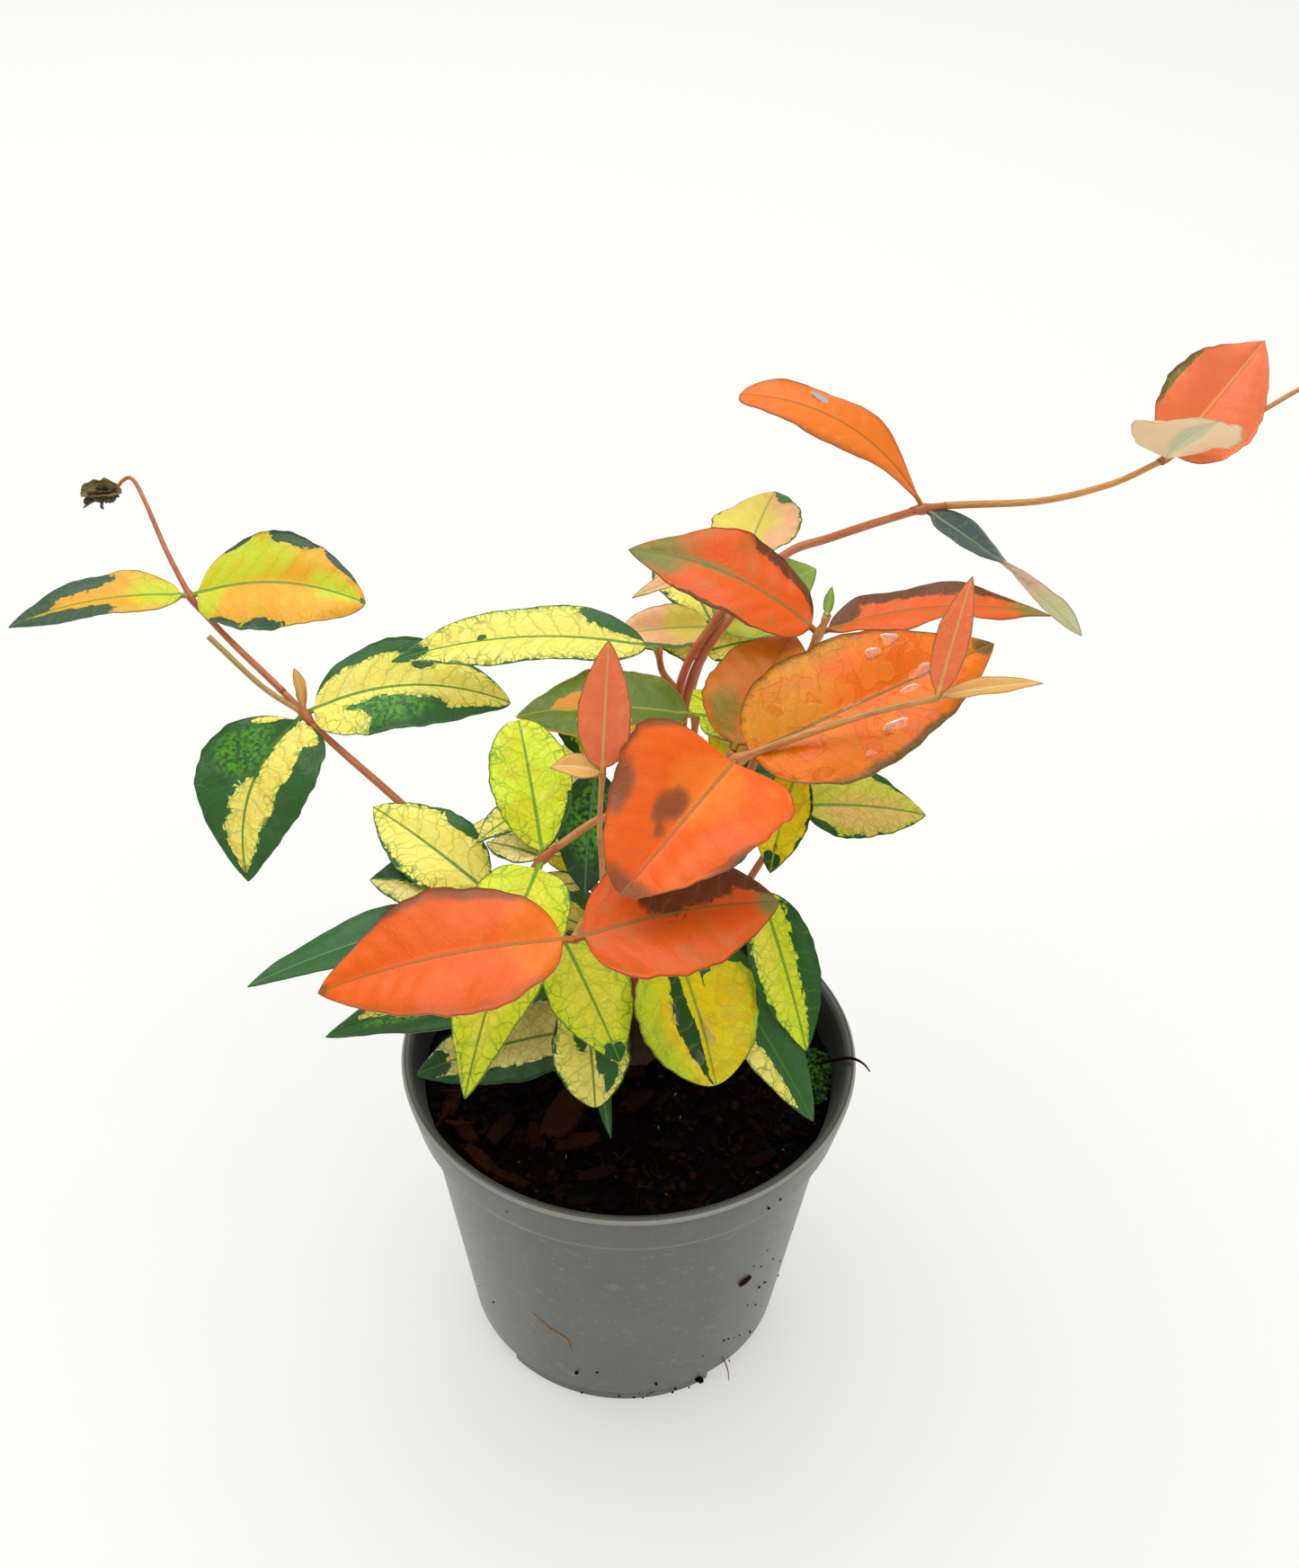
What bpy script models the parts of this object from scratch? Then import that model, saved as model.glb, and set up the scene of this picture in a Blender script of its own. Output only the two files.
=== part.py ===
"""A variegated asiatic jasmine in a round nursery pot, at its real size.

The origin is the centre of the pot's flat underside, +Z is up, +X runs along the long trailing shoots and -Y is
the plant's front. Lengths at the top are in millimetres; everything is made in metres.
"""

import math
import random

import bpy
import bmesh
from mathutils import Matrix, Vector
from mathutils.bvhtree import BVHTree

MM = 0.001
GAP = 0.3  # between two pieces that touch on the real plant

# The pot.
RIM_RADIUS = 52.5
POT_HEIGHT = 84.2
LIP_WIDTH = 2.8
COLLAR_HEIGHT = 12.0
COLLAR_FOOT_RADIUS = 50.3
BODY_TOP_RADIUS = 47.4
BODY_FOOT_RADIUS = 38.4
FOOT_RADIUS = 37.0
FOOT_HEIGHT = 5.0
FLOOR_THICKNESS = 1.6
WALL = 1.2
FOOT_RING_WIDTH = 7.0
DRAIN_NOTCHES = 3
DRAIN_NOTCH_WIDTH = 26.0
DRAIN_NOTCH_DEPTH = 4.5
DRAIN_NOTCH_HEIGHT = 4.8
FIRST_NOTCH = 85  # degrees round the pot
POT_SEGMENTS = 48

# The potting mix.
SOIL_EDGE_HEIGHT = 76.0
SOIL_CROWN = 2.5
SOIL_UNEVEN = 0.7

# The short woody trunk that all shoots fork from.
TRUNK_AT = (1.0, 3.0)
TRUNK_HEIGHT = 14.0
TRUNK_RADIUS = 4.2
TRUNK_FLARE = 6.4
TRUNK_LEAN = 1.5
SIDE_SHOOT_HEIGHT = -5.0  # from the foot of the boughs

# Stems and leaves.
STEM_STEP = 6.0
STEM_SIDES = 6
LEAF_THICKNESS = 0.62
PETIOLE_HALF_WIDTH = 0.75
PETIOLE_THICKNESS = 1.3
PETIOLE_SHARE = 0.05
WIDEST_AT = 0.42
ROUND_FOOT = 0.55  # the smaller, the rounder the blade starts
ACUTE_TIP = 0.8  # the smaller, the blunter the blade ends
LEAF_STATIONS = (0.0, 0.05, 0.15, 0.34, 0.56, 0.77, 0.92, 1.0)
TIP_HALF_WIDTH = 0.35
SEED = 7

TRUNK_TOP = SOIL_EDGE_HEIGHT + SOIL_CROWN + GAP + TRUNK_HEIGHT


def leaf(node, heading, pitch, length, width, roll=0, arch=0.06, fold=8, bend=0, widest=WIDEST_AT, tip=ACUTE_TIP):
    """One leaf of a shoot: node counts the stem's points, angles are in degrees and lengths in millimetres.

    heading turns from +X towards +Y and pitch rises from level. roll turns the blade about its midrib, arch is the
    midrib's rise over its length, bend is its bow to the side, fold is how far each half is raised, widest is where
    the blade is broadest, as a share of its length, and tip is how blunt it ends.
    """
    return dict(node=node, heading=heading, pitch=pitch, length=length, width=width, roll=roll, arch=arch,
                fold=fold, bend=bend, widest=widest, tip=tip)


# Each bough runs from the trunk, or on from a pair of leaves, to the shoot that it carries.
BOUGHS = {
    "bough_left_lower": (1.15, 0.8, [(-1.2, 3.4, 0.8), (-14, 2, 20), (-34, 5, 37.2), (-54, 17, 49), (-72, 29, 58.2)]),
    "bough_left_outer": (0.8, 0.7, [(-79.8, 36.2, 62.6), (-91, 47, 66), (-101.4, 56.6, 70.6)]),
    "bough_right_lower": (1.2, 0.95, [(4.4, 6.1, 0.6), (9, 21, 28), (11, 37, 64), (21, 48, 79), (32, 62, 85.5),
                                      (44, 70, 86.6), (63, 81.5, 87.4)]),
    "bough_right_outer": (0.9, 0.75, [(71.8, 84.2, 88), (94, 88, 87.8), (112, 96, 88.4), (125.3, 103.6, 91)]),
    "bough_twin": (1.1, 0.9, [(1.9, 6.5, 0.6), (6.8, 19.7, 28.6), (8.8, 35.6, 64.8), (17.6, 46.2, 79.8)]),
    "bough_back": (1.1, 0.9, [(-0.8, 5.9, 0.9), (4, 34, 26), (13, 58, 54)]),
    "bough_centre": (1.2, 0.85, [(5.9, 3.4, 0.6), (18, 14, 38), (30, 21, 70), (36.5, 22.5, 86)]),
    "bough_crown": (1.2, 0.85, [(4.6, 0.6, 0.5), (12, -4, 30), (17, -8, 60), (19.3, -11.5, 80)]),
    "bough_front": (1.1, 0.8, [(2, -0.4, 0.4), (-1, -6, 24), (-4, -17, 44), (-8, -31, 56)]),
    "bough_low_left": (1.05, 0.8, [(-0.8, 0.8, 0.4), (-1.6, 2, 30), (0, -2, 56), (-6, -9, 64), (-15, -15, 61)]),
    "bough_inner": (1.05, 0.85, [(2.4, 3.2, 0.4), (6, 8, 30), (11, 13, 58)]),
}
BOUGH_BASE = TRUNK_TOP + GAP

# Each shoot is a stem through its nodes with the leaves that they carry. One with a trunk_side starts beside the
# trunk, at that heading in degrees round it. Side twigs carry on the count of the nodes.
SHOOTS = {
    "leaves_left_near": dict(
        radius=(0.85, 0.8), stem=[(-72.5, 29.5, 58.6), (-74, 31, 59.8), (-79.2, 35.7, 62.2)],
        leaves=[leaf(1, -113, -45, 39, 26, -20, 0.08, 6, 0.14, 0.37),
                leaf(1, 1, 5, 46, 23, 30, 0.05, 6, -0.1, 0.38, 0.65)],
        twigs=[(0.65, [(-75, 31.4, 60.2), (-83, 34.4, 62.6), (-97, 45, 70.5)])],
    ),
    "leaves_left_far": dict(
        radius=(0.7, 0.45), stem=[(-101.9, 57, 70.9), (-104, 59, 72.6), (-111, 70, 77), (-118, 82, 83.5),
                                  (-122.5, 89, 86.5), (-125, 90, 86), (-127, 89, 84)],
        leaves=[leaf(1, -166, -5, 41, 16, -8, 0.08, 10), leaf(1, -8, 4, 42, 25, 33, 0.05, 6, -0.08, 0.45)],
        withered=[(-125.5, 89, 84)],
    ),
    "leaves_right_near": dict(
        radius=(0.95, 0.9), stem=[(63.5, 81.8, 87.5), (66, 82.6, 87.7), (71.4, 84.1, 88)],
        leaves=[leaf(1, 165, 26, 51, 18, -10, 0.14, 4, 0.04, 0.6, 0.4), leaf(1, -18, -32, 49, 15, -14, 0.05, 28)],
    ),
    "leaves_right_far": dict(
        radius=(0.75, 0.45), stem=[(125.8, 103.8, 91.2), (127, 104.5, 91.6), (147, 114, 97.5), (166, 124, 104.5),
                                   (181, 131, 109.5), (192, 137, 115)],
        leaves=[leaf(1, 51, 21, 39, 24, 40, 0.05, 8, 0, 0.38, 0.95),
                leaf(1, -47, 53, 28, 26, -35, 0.04, 8, 0, 0.4, 0.8), leaf(4, 80, 30, 22, 10, 0, 0.06, 14),
                leaf(4, -30, 10, 20, 9, 10, 0.06, 14), leaf(5, 30, 50, 11, 4, 0, 0.05, 20)],
    ),
    "leaves_back": dict(
        radius=(0.9, 0.7), stem=[(13.3, 58.7, 54.8), (15, 60.3, 60), (17, 62, 66), (22, 66, 76), (24, 68, 80)],
        leaves=[leaf(4, 72, 16, 25, 22, -10, 0.05, 8), leaf(2, 22, 23, 28, 22, 20, 0.05, 8),
                leaf(4, -160, -9, 28, 7, -10, 0.05, 20), leaf(2, -168, 0, 24, 13, -20, 0.05, 10),
                leaf(1, 178, 22, 14, 11, -20, 0.05, 8), leaf(1, 2, 14, 20, 12, 20, 0.05, 8),
                leaf(2, 110, 0, 34, 18, 0, 0.08, 8)],
    ),
    "leaves_centre": dict(
        radius=(0.85, 0.6), stem=[(36.7, 22.6, 86.6), (37.5, 22.6, 89.5), (38.5, 22.8, 92), (39, 23, 94)],
        leaves=[leaf(1, 160, 14, 44, 21, -22, 0.08, 6, 0.05), leaf(1, 11, 0, 51, 15, 2, 0.05, 12, -0.05),
                leaf(3, 70, 70, 6, 3, 0, 0.02, 20)],
    ),
    "leaves_crown": dict(
        radius=(0.85, 0.6), stem=[(19.5, -12, 80.8), (20, -12.5, 82), (33, -12, 88), (46, -11, 93), (58, -10, 96)],
        leaves=[leaf(1, 27, 11, 60, 31, 22, 0.05, 6, 0.02, 0.36),
                leaf(1, -125, -14, 39, 37, -14, 0.08, 20, -0.02, 0.26, 0.5), leaf(4, 63, 60, 24, 7, 0, 0.03, 14),
                leaf(4, 16, 0, 22, 5, 10, 0.03, 20)],
    ),
    "leaves_crown_back": dict(
        radius=(0.8, 0.7), stem=[(14.5, -7.2, 60), (14.6, -4, 66), (20, 0, 75)],
        leaves=[leaf(2, 64, 24, 31, 23, 0, 0.06, 8)],
    ),
    "leaves_front": dict(
        radius=(0.8, 0.7), stem=[(-8.2, -31.6, 56.4), (-9.2, -37, 59.5), (-10.3, -43, 61)],
        leaves=[leaf(2, -169, -8, 49, 27, -20, 0.09, 6), leaf(2, 12, 5, 40, 28, 20, 0.08, 6)],
    ),
    "leaves_low_left": dict(
        radius=(0.8, 0.7), stem=[(-15.8, -15.5, 60.6), (-18, -17, 59.4), (-20.5, -18.5, 57)],
        leaves=[leaf(1, 104, 30, 31, 17, 0, 0.06, 8, 0, 0.5, 0.45), leaf(1, -112, -43, 50, 22, 0, 0.08, 6, 0, 0.27),
                leaf(1, 150, -8, 14, 8, -10, 0.05, 8)],
    ),
    "leaves_inner": dict(
        radius=(0.85, 0.7), stem=[(11.1, 13.1, 58.8), (12, 14, 64), (12.5, 15, 73)],
        twigs=[(0.7, [(12, 14, 64), (2, 12, 66), (-8, 10, 63)])],
        leaves=[leaf(2, 180, -2, 38, 22, -8, 0.07, 8), leaf(2, -22, 5, 26, 14, 20, 0.07, 8),
                leaf(5, -100, -64, 28, 14, 0, 0.1, 8), leaf(5, 100, 18, 25, 16, 0, 0.06, 8)],
    ),
    "leaves_twin": dict(
        radius=(0.8, 0.7), stem=[(7.9, 35.1, 67), (5.2, 32.2, 73), (4.2, 30, 80)],
        leaves=[leaf(2, 180, -5, 58, 17.5, -14, 0.05, 8, 0.045)],
    ),
    "shoot_young_front": dict(
        radius=(0.65, 0.5), stem=[(-5.6, -20.9, 50.2), (-5.9, -20.6, 60), (-6.4, -22.4, 72), (-6, -21, 84)],
        leaves=[leaf(3, 85, 70, 26, 10.5, 0, 0.03, 12), leaf(3, 179, 5, 10, 6, -20, 0.1, 20)],
    ),
    "skirt_left": dict(
        trunk_side=195, radius=(1.0, 0.7), stem=[(-14, -4, 14), (-27, -5, 36), (-30, -8, 42)],
        leaves=[leaf(3, 146, 15, 33, 18, -22, 0.07, 8), leaf(3, 172, 0, 26, 17, -15, 0.07, 8),
                leaf(2, -165, -12, 57, 14, -2, 0.05, 10), leaf(1, -164, -5, 54, 16, -8, 0.05, 8)],
    ),
    "skirt_front": dict(
        trunk_side=240, radius=(1.0, 0.7), stem=[(-5, -9, 5), (-10, -12, 20), (-15, -10, 33)],
        leaves=[leaf(1, -172, -14, 44, 20, -20, 0.09, 8), leaf(2, -80, -42, 26, 17, 0, 0.08, 8, 0, 0.5, 0.6),
                leaf(3, -58, -32, 30, 18, 12, 0.07, 8), leaf(1, -86, -16, 27, 5, 30, 0.1, 10)],
    ),
    "skirt_right": dict(
        trunk_side=300, radius=(1.0, 0.7), stem=[(7, -7, 14), (9, -12, 33), (14, -10, 35), (26.5, -5, 44)],
        leaves=[leaf(2, -66, -40, 31, 28, 0, 0.08, 6, 0, 0.42, 0.55), leaf(3, -40, -45, 48, 14.5, 22, 0.07, 8),
                leaf(4, -60, -52, 37, 15, 12, 0.07, 10)],
    ),
    "skirt_right_upper": dict(
        trunk_side=0, radius=(1.0, 0.7), stem=[(18, 4, 20), (28, 6, 42), (35, 7, 56), (34, 5, 68)],
        leaves=[leaf(3, 5, -7, 28, 18, 20, 0.05, 8, -0.01, 0.38), leaf(4, -112, -52, 23, 12, 0, 0.08, 8)],
    ),
}

# The sides that the front view hides are filled by a rule: an arching stem with opposite pairs of leaves.
HIDDEN_SHOOTS = {
    "skirt_back_left": dict(heading=126, reach=22, rise=32, pairs=3),
    "skirt_back": dict(heading=102, reach=32, rise=20, pairs=4),
    "crown_back_right": dict(heading=50, reach=30, rise=60, pairs=4),
    "crown_back_left": dict(heading=150, reach=16, rise=56, pairs=4),
    "skirt_back_right": dict(heading=76, reach=20, rise=20, pairs=3),
}
HIDDEN_LEAF_LENGTH = (22, 29)
HIDDEN_LEAF_WIDTH_SHARE = 0.46

LEAF_COLOURS = {
    "green_yellow": (0.16, 0.30, 0.06),
    "yellow": (0.62, 0.62, 0.12),
    "orange": (0.80, 0.22, 0.06),
}
ORANGE_SHOOTS = ("leaves_right_near", "leaves_right_far", "leaves_centre", "leaves_crown", "leaves_crown_back",
                 "leaves_front", "shoot_young_front")
YELLOW_SHOOTS = ("leaves_left_far", "leaves_back", "leaves_twin", "leaves_low_left", "skirt_front")


def clear_scene():
    for obj in list(bpy.data.objects):
        bpy.data.objects.remove(obj, do_unlink=True)


def material(name, colour, roughness):
    """A plain finish with this linear colour."""
    made = bpy.data.materials.new(name)
    made.use_nodes = True
    shader = made.node_tree.nodes["Principled BSDF"]
    shader.inputs["Base Color"].default_value = (*colour, 1)
    shader.inputs["Roughness"].default_value = roughness
    shader.inputs["Metallic"].default_value = 0
    return made


def mesh_object(name, shape, finish):
    """A scene object from a bmesh, which it uses up."""
    bmesh.ops.recalc_face_normals(shape, faces=shape.faces)
    mesh = bpy.data.meshes.new(name)
    shape.to_mesh(mesh)
    shape.free()
    mesh.materials.append(finish)
    mesh.shade_smooth()
    mesh.set_sharp_from_angle(angle=math.radians(40))
    obj = bpy.data.objects.new(name, mesh)
    bpy.context.scene.collection.objects.link(obj)
    return obj


def turned(profile, segments):
    """The closed solid that a profile of (radius, height) makes round the Z axis."""
    shape = bmesh.new()
    corners = [shape.verts.new((r * MM, 0, z * MM)) for r, z in profile]
    edges = [shape.edges.new(pair) for pair in zip(corners, corners[1:])]
    bmesh.ops.spin(shape, geom=corners + edges, cent=(0, 0, 0), axis=(0, 0, 1), angle=2 * math.pi,
                   steps=segments, use_merge=True)
    bmesh.ops.remove_doubles(shape, verts=shape.verts, dist=1e-6)
    return shape


def make_pot():
    """A thin moulded pot: rolled lip, straight collar, tapered body and a foot with drain notches."""
    floor_ring_inner = FOOT_RADIUS - FOOT_RING_WIDTH
    collar_foot = POT_HEIGHT - COLLAR_HEIGHT
    ring_top = FOOT_HEIGHT + FLOOR_THICKNESS
    profile = [
        (0, FLOOR_THICKNESS),
        (floor_ring_inner - 1, FLOOR_THICKNESS),
        (floor_ring_inner, ring_top),
        (BODY_FOOT_RADIUS - WALL, ring_top),
        (BODY_TOP_RADIUS - WALL, collar_foot),
        (RIM_RADIUS - LIP_WIDTH - 0.3, POT_HEIGHT - 2.4),
        (RIM_RADIUS - LIP_WIDTH, POT_HEIGHT - 0.9),
        (RIM_RADIUS - LIP_WIDTH + 0.9, POT_HEIGHT),
        (RIM_RADIUS - 0.7, POT_HEIGHT),
        (RIM_RADIUS, POT_HEIGHT - 0.8),
        (COLLAR_FOOT_RADIUS, collar_foot + 0.8),
        (COLLAR_FOOT_RADIUS - 0.5, collar_foot),
        (BODY_TOP_RADIUS, collar_foot - 1.5),
        (BODY_FOOT_RADIUS, FOOT_HEIGHT),
        (FOOT_RADIUS + 0.3, FOOT_HEIGHT - 0.8),
        (FOOT_RADIUS, 0.5),
        (FOOT_RADIUS - 0.5, 0),
        (0, 0),
    ]
    pot = mesh_object("pot", turned(profile, POT_SEGMENTS), material("moulded_plastic", (0.13, 0.13, 0.13), 0.45))
    for number in range(DRAIN_NOTCHES):
        cutter = bmesh.new()
        bmesh.ops.create_cube(cutter, size=1)
        bmesh.ops.scale(cutter, vec=(12 * MM, DRAIN_NOTCH_WIDTH * MM, 2 * DRAIN_NOTCH_HEIGHT * MM),
                        verts=cutter.verts)
        bmesh.ops.translate(cutter, vec=((FOOT_RADIUS - DRAIN_NOTCH_DEPTH + 6) * MM, 0, 0), verts=cutter.verts)
        turn = Matrix.Rotation(math.radians(FIRST_NOTCH + number * 360 / DRAIN_NOTCHES), 3, "Z")
        bmesh.ops.rotate(cutter, cent=(0, 0, 0), matrix=turn, verts=cutter.verts)
        tool = mesh_object(f"notch_cutter_{number}", cutter, pot.data.materials[0])
        tool.hide_render = True
        tool.display_type = "WIRE"
        cut = pot.modifiers.new(f"notch_{number}", "BOOLEAN")
        cut.operation = "DIFFERENCE"
        cut.object = tool
    return pot


def inner_radius(height):
    """The pot's inner radius at this height above its underside, in the tapered body or in the collar."""
    low, middle, high = FOOT_HEIGHT + FLOOR_THICKNESS, POT_HEIGHT - COLLAR_HEIGHT, POT_HEIGHT - 2.4
    if height <= middle:
        share = (height - low) / (middle - low)
        return BODY_FOOT_RADIUS - WALL + share * (BODY_TOP_RADIUS - BODY_FOOT_RADIUS)
    share = (height - middle) / (high - middle)
    return BODY_TOP_RADIUS - WALL + share * (RIM_RADIUS - LIP_WIDTH - 0.3 - BODY_TOP_RADIUS + WALL)


def make_mix():
    """The bark and peat mix that fills the pot to just under its lip, with a slightly uneven top."""
    ring_top = FOOT_HEIGHT + FLOOR_THICKNESS + GAP
    floor_edge = FOOT_RADIUS - FOOT_RING_WIDTH - 1
    edge = inner_radius(SOIL_EDGE_HEIGHT) - GAP
    profile = [(0, SOIL_EDGE_HEIGHT + SOIL_CROWN), (9, SOIL_EDGE_HEIGHT + SOIL_CROWN)]
    profile += [(r, SOIL_EDGE_HEIGHT + SOIL_CROWN * (1 - (r / edge) ** 2)) for r in (20, 31, 40)]
    profile += [
        (edge, SOIL_EDGE_HEIGHT),
        (inner_radius(POT_HEIGHT - COLLAR_HEIGHT) - GAP, POT_HEIGHT - COLLAR_HEIGHT),
        (inner_radius(ring_top) - GAP, ring_top),
        (floor_edge, ring_top),
        (floor_edge - GAP - 0.3, FLOOR_THICKNESS + GAP),
        (0, FLOOR_THICKNESS + GAP),
    ]
    shape = turned(profile, 32)
    draw = random.Random(SEED)
    for corner in shape.verts:
        reach = math.hypot(corner.co.x, corner.co.y) / MM
        if corner.co.z > (SOIL_EDGE_HEIGHT - 1) * MM and 12 < reach:
            corner.co.z += draw.uniform(-SOIL_UNEVEN, SOIL_UNEVEN) * MM
    return mesh_object("potting_mix", shape, material("damp_bark_mix", (0.012, 0.008, 0.006), 0.9))


def smooth_route(points, step):
    """Points every step along a smooth curve through the given ones, ends kept."""
    knots = [Vector(p) for p in points]
    if len(knots) == 2:
        knots.insert(1, (knots[0] + knots[1]) / 2)
    padded = [2 * knots[0] - knots[1]] + knots + [2 * knots[-1] - knots[-2]]
    route = [knots[0]]
    for before, start, end, after in zip(padded, padded[1:], padded[2:], padded[3:]):
        count = max(1, round((end - start).length / step))
        for number in range(1, count + 1):
            t = number / count
            route.append(0.5 * (2 * start + (end - before) * t
                                + (2 * before - 5 * start + 4 * end - after) * t * t
                                + (3 * start - before - 3 * end + after) * t ** 3))
    return route


def tube(route, first_radius, last_radius, sides=STEM_SIDES):
    """A closed, tapering round stem along a route in millimetres."""
    shape = bmesh.new()
    rings = []
    across = None
    for number, point in enumerate(route):
        ahead = route[min(number + 1, len(route) - 1)] - route[max(number - 1, 0)]
        ahead.normalize()
        if across is None:
            across = ahead.orthogonal().normalized()
        across = (across - ahead * across.dot(ahead)).normalized()
        other = ahead.cross(across)
        radius = first_radius + (last_radius - first_radius) * number / (len(route) - 1)
        ring = []
        for side in range(sides):
            angle = 2 * math.pi * side / sides
            place = point + radius * (math.cos(angle) * across + math.sin(angle) * other)
            ring.append(shape.verts.new(place * MM))
        rings.append(ring)
    for low, high in zip(rings, rings[1:]):
        for side in range(sides):
            after = (side + 1) % sides
            shape.faces.new((low[side], low[after], high[after], high[side]))
    shape.faces.new(list(reversed(rings[0])))
    shape.faces.new(rings[-1])
    return shape


def leaf_frame(row):
    """(midrib, side, normal) of a leaf: with no roll its face looks as far up as it can."""
    heading, pitch, roll = (math.radians(row[key]) for key in ("heading", "pitch", "roll"))
    midrib = Vector((math.cos(pitch) * math.cos(heading), math.cos(pitch) * math.sin(heading), math.sin(pitch)))
    up = Vector((0, 0, 1))
    normal = (up - midrib * midrib.dot(up)).normalized()
    side = midrib.cross(normal)
    return (midrib, side * math.cos(roll) - normal * math.sin(roll),
            normal * math.cos(roll) + side * math.sin(roll))


def half_width(share, row):
    """Half of the blade's width at this share of its length: an oval with a narrow foot and an acute tip."""
    if share <= PETIOLE_SHARE:
        return PETIOLE_HALF_WIDTH
    along = (share - PETIOLE_SHARE) / (1 - PETIOLE_SHARE)
    bulge = math.sin(math.pi * along ** (math.log(0.5) / math.log(row["widest"])))
    power = ROUND_FOOT if along < row["widest"] else row["tip"]
    return max(TIP_HALF_WIDTH, row["width"] / 2 * bulge ** power, PETIOLE_HALF_WIDTH * (1 - along))


def leaf_solid(root, row):
    """A thin closed blade whose narrow foot starts inside the stem."""
    midrib, side, normal = leaf_frame(row)
    fold = math.radians(row["fold"])
    shape = bmesh.new()
    tops, bottoms = [], []
    for share in LEAF_STATIONS:
        bow = 4 * share * (1 - share)
        middle = root + row["length"] * (share * midrib + bow * (row["arch"] * normal + row["bend"] * side))
        half = half_width(share, row)
        thick = PETIOLE_THICKNESS if share <= PETIOLE_SHARE else LEAF_THICKNESS
        rise = half * math.sin(fold)
        reach = half * math.cos(fold)
        for row_of, lift in ((tops, thick / 2), (bottoms, -thick / 2)):
            row_of.append([shape.verts.new((middle + across * reach * side + (lift + abs(across) * rise) * normal) * MM)
                           for across in (-1, 0, 1)])
    for low, high in zip(range(len(LEAF_STATIONS) - 1), range(1, len(LEAF_STATIONS))):
        for a, b in ((0, 1), (1, 2)):
            shape.faces.new((tops[low][a], tops[low][b], tops[high][b], tops[high][a]))
            shape.faces.new((bottoms[low][b], bottoms[low][a], bottoms[high][a], bottoms[high][b]))
        shape.faces.new((tops[low][0], tops[high][0], bottoms[high][0], bottoms[low][0]))
        shape.faces.new((tops[high][2], tops[low][2], bottoms[low][2], bottoms[high][2]))
    for end in (0, -1):
        for a, b in ((0, 1), (1, 2)):
            shape.faces.new((tops[end][a], bottoms[end][a], bottoms[end][b], tops[end][b]))
    return shape


def withered_solid(place):
    """The shrivelled brown shoot tip: a small rough lump."""
    shape = bmesh.new()
    bmesh.ops.create_icosphere(shape, subdivisions=1, radius=1)
    draw = random.Random(SEED)
    for corner in shape.verts:
        corner.co *= draw.uniform(0.75, 1.1)
        corner.co = Vector((corner.co.x * 5.8, corner.co.y * 3, corner.co.z * 3.6))
        corner.co = (corner.co + Vector(place) + Vector((-3.8, -0.8, -1))) * MM
    return shape


def fused(name, shapes, finish):
    """One solid from overlapping shapes, by a single union of a collection."""
    body = mesh_object(name, shapes[0], finish)
    others = bpy.data.collections.new(f"{name}_parts")
    for number, shape in enumerate(shapes[1:]):
        piece = mesh_object(f"{name}_{number}", shape, finish)
        bpy.context.scene.collection.objects.unlink(piece)
        others.objects.link(piece)
    bpy.context.scene.collection.children.link(others)
    join = body.modifiers.new("join", "BOOLEAN")
    join.operation = "UNION"
    join.operand_type = "COLLECTION"
    join.collection = others
    graph = bpy.context.evaluated_depsgraph_get()
    whole = bpy.data.meshes.new_from_object(body.evaluated_get(graph))
    body.modifiers.clear()
    body.data = whole
    for piece in list(others.objects):
        bpy.data.objects.remove(piece, do_unlink=True)
    bpy.data.collections.remove(others)
    return body


def finish_of(name):
    kind = "orange" if name in ORANGE_SHOOTS else "yellow" if name in YELLOW_SHOOTS else "green_yellow"
    return bpy.data.materials.get(kind) or material(kind, LEAF_COLOURS[kind], 0.35)


def raised(points):
    """Stem points, whose heights are given from the foot of the boughs, in the object's own frame."""
    return [Vector((x, y, z + BOUGH_BASE)) for x, y, z in points]


def beside_trunk(heading, stem_radius, height):
    """A stem's first point where it just clears the trunk's side, height above or below the trunk's top."""
    share = 1 + height / TRUNK_HEIGHT
    reach = TRUNK_RADIUS + 0.1 + stem_radius + GAP
    angle = math.radians(heading)
    return (TRUNK_AT[0] + TRUNK_LEAN * share + reach * math.cos(angle), TRUNK_AT[1] + reach * math.sin(angle), height)


def stem_points(plan):
    """The points that a shoot's stem runs through, from beside the trunk where it starts there."""
    start = [beside_trunk(plan["trunk_side"], plan["radius"][0], SIDE_SHOOT_HEIGHT)] if "trunk_side" in plan else []
    return raised(start + plan["stem"])


def make_shoot(name, plan, placed=None):
    """One fused shoot. Where placed is given, a leaf that crosses anything in it is skipped."""
    nodes = stem_points(plan)
    shapes = [tube(smooth_route(nodes, STEM_STEP), *plan["radius"])]
    for radius, points in plan.get("twigs", ()):
        nodes += raised(points)
        shapes.append(tube(smooth_route(raised(points), STEM_STEP), radius, radius))
    for place in plan.get("withered", ()):
        shapes.append(withered_solid(raised([place])[0]))
    for row in plan["leaves"]:
        blade = leaf_solid(nodes[row["node"]], row)
        if placed is not None and crosses(blade, placed):
            blade.free()
            continue
        shapes.append(blade)
    return fused(name, shapes, finish_of(name))


def crosses(shape, placed):
    tree = BVHTree.FromBMesh(shape)
    return any(tree.overlap(other) for other in placed)


def tree_of(obj):
    mesh = obj.data
    return BVHTree.FromPolygons([corner.co for corner in mesh.vertices], [face.vertices for face in mesh.polygons])


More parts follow.
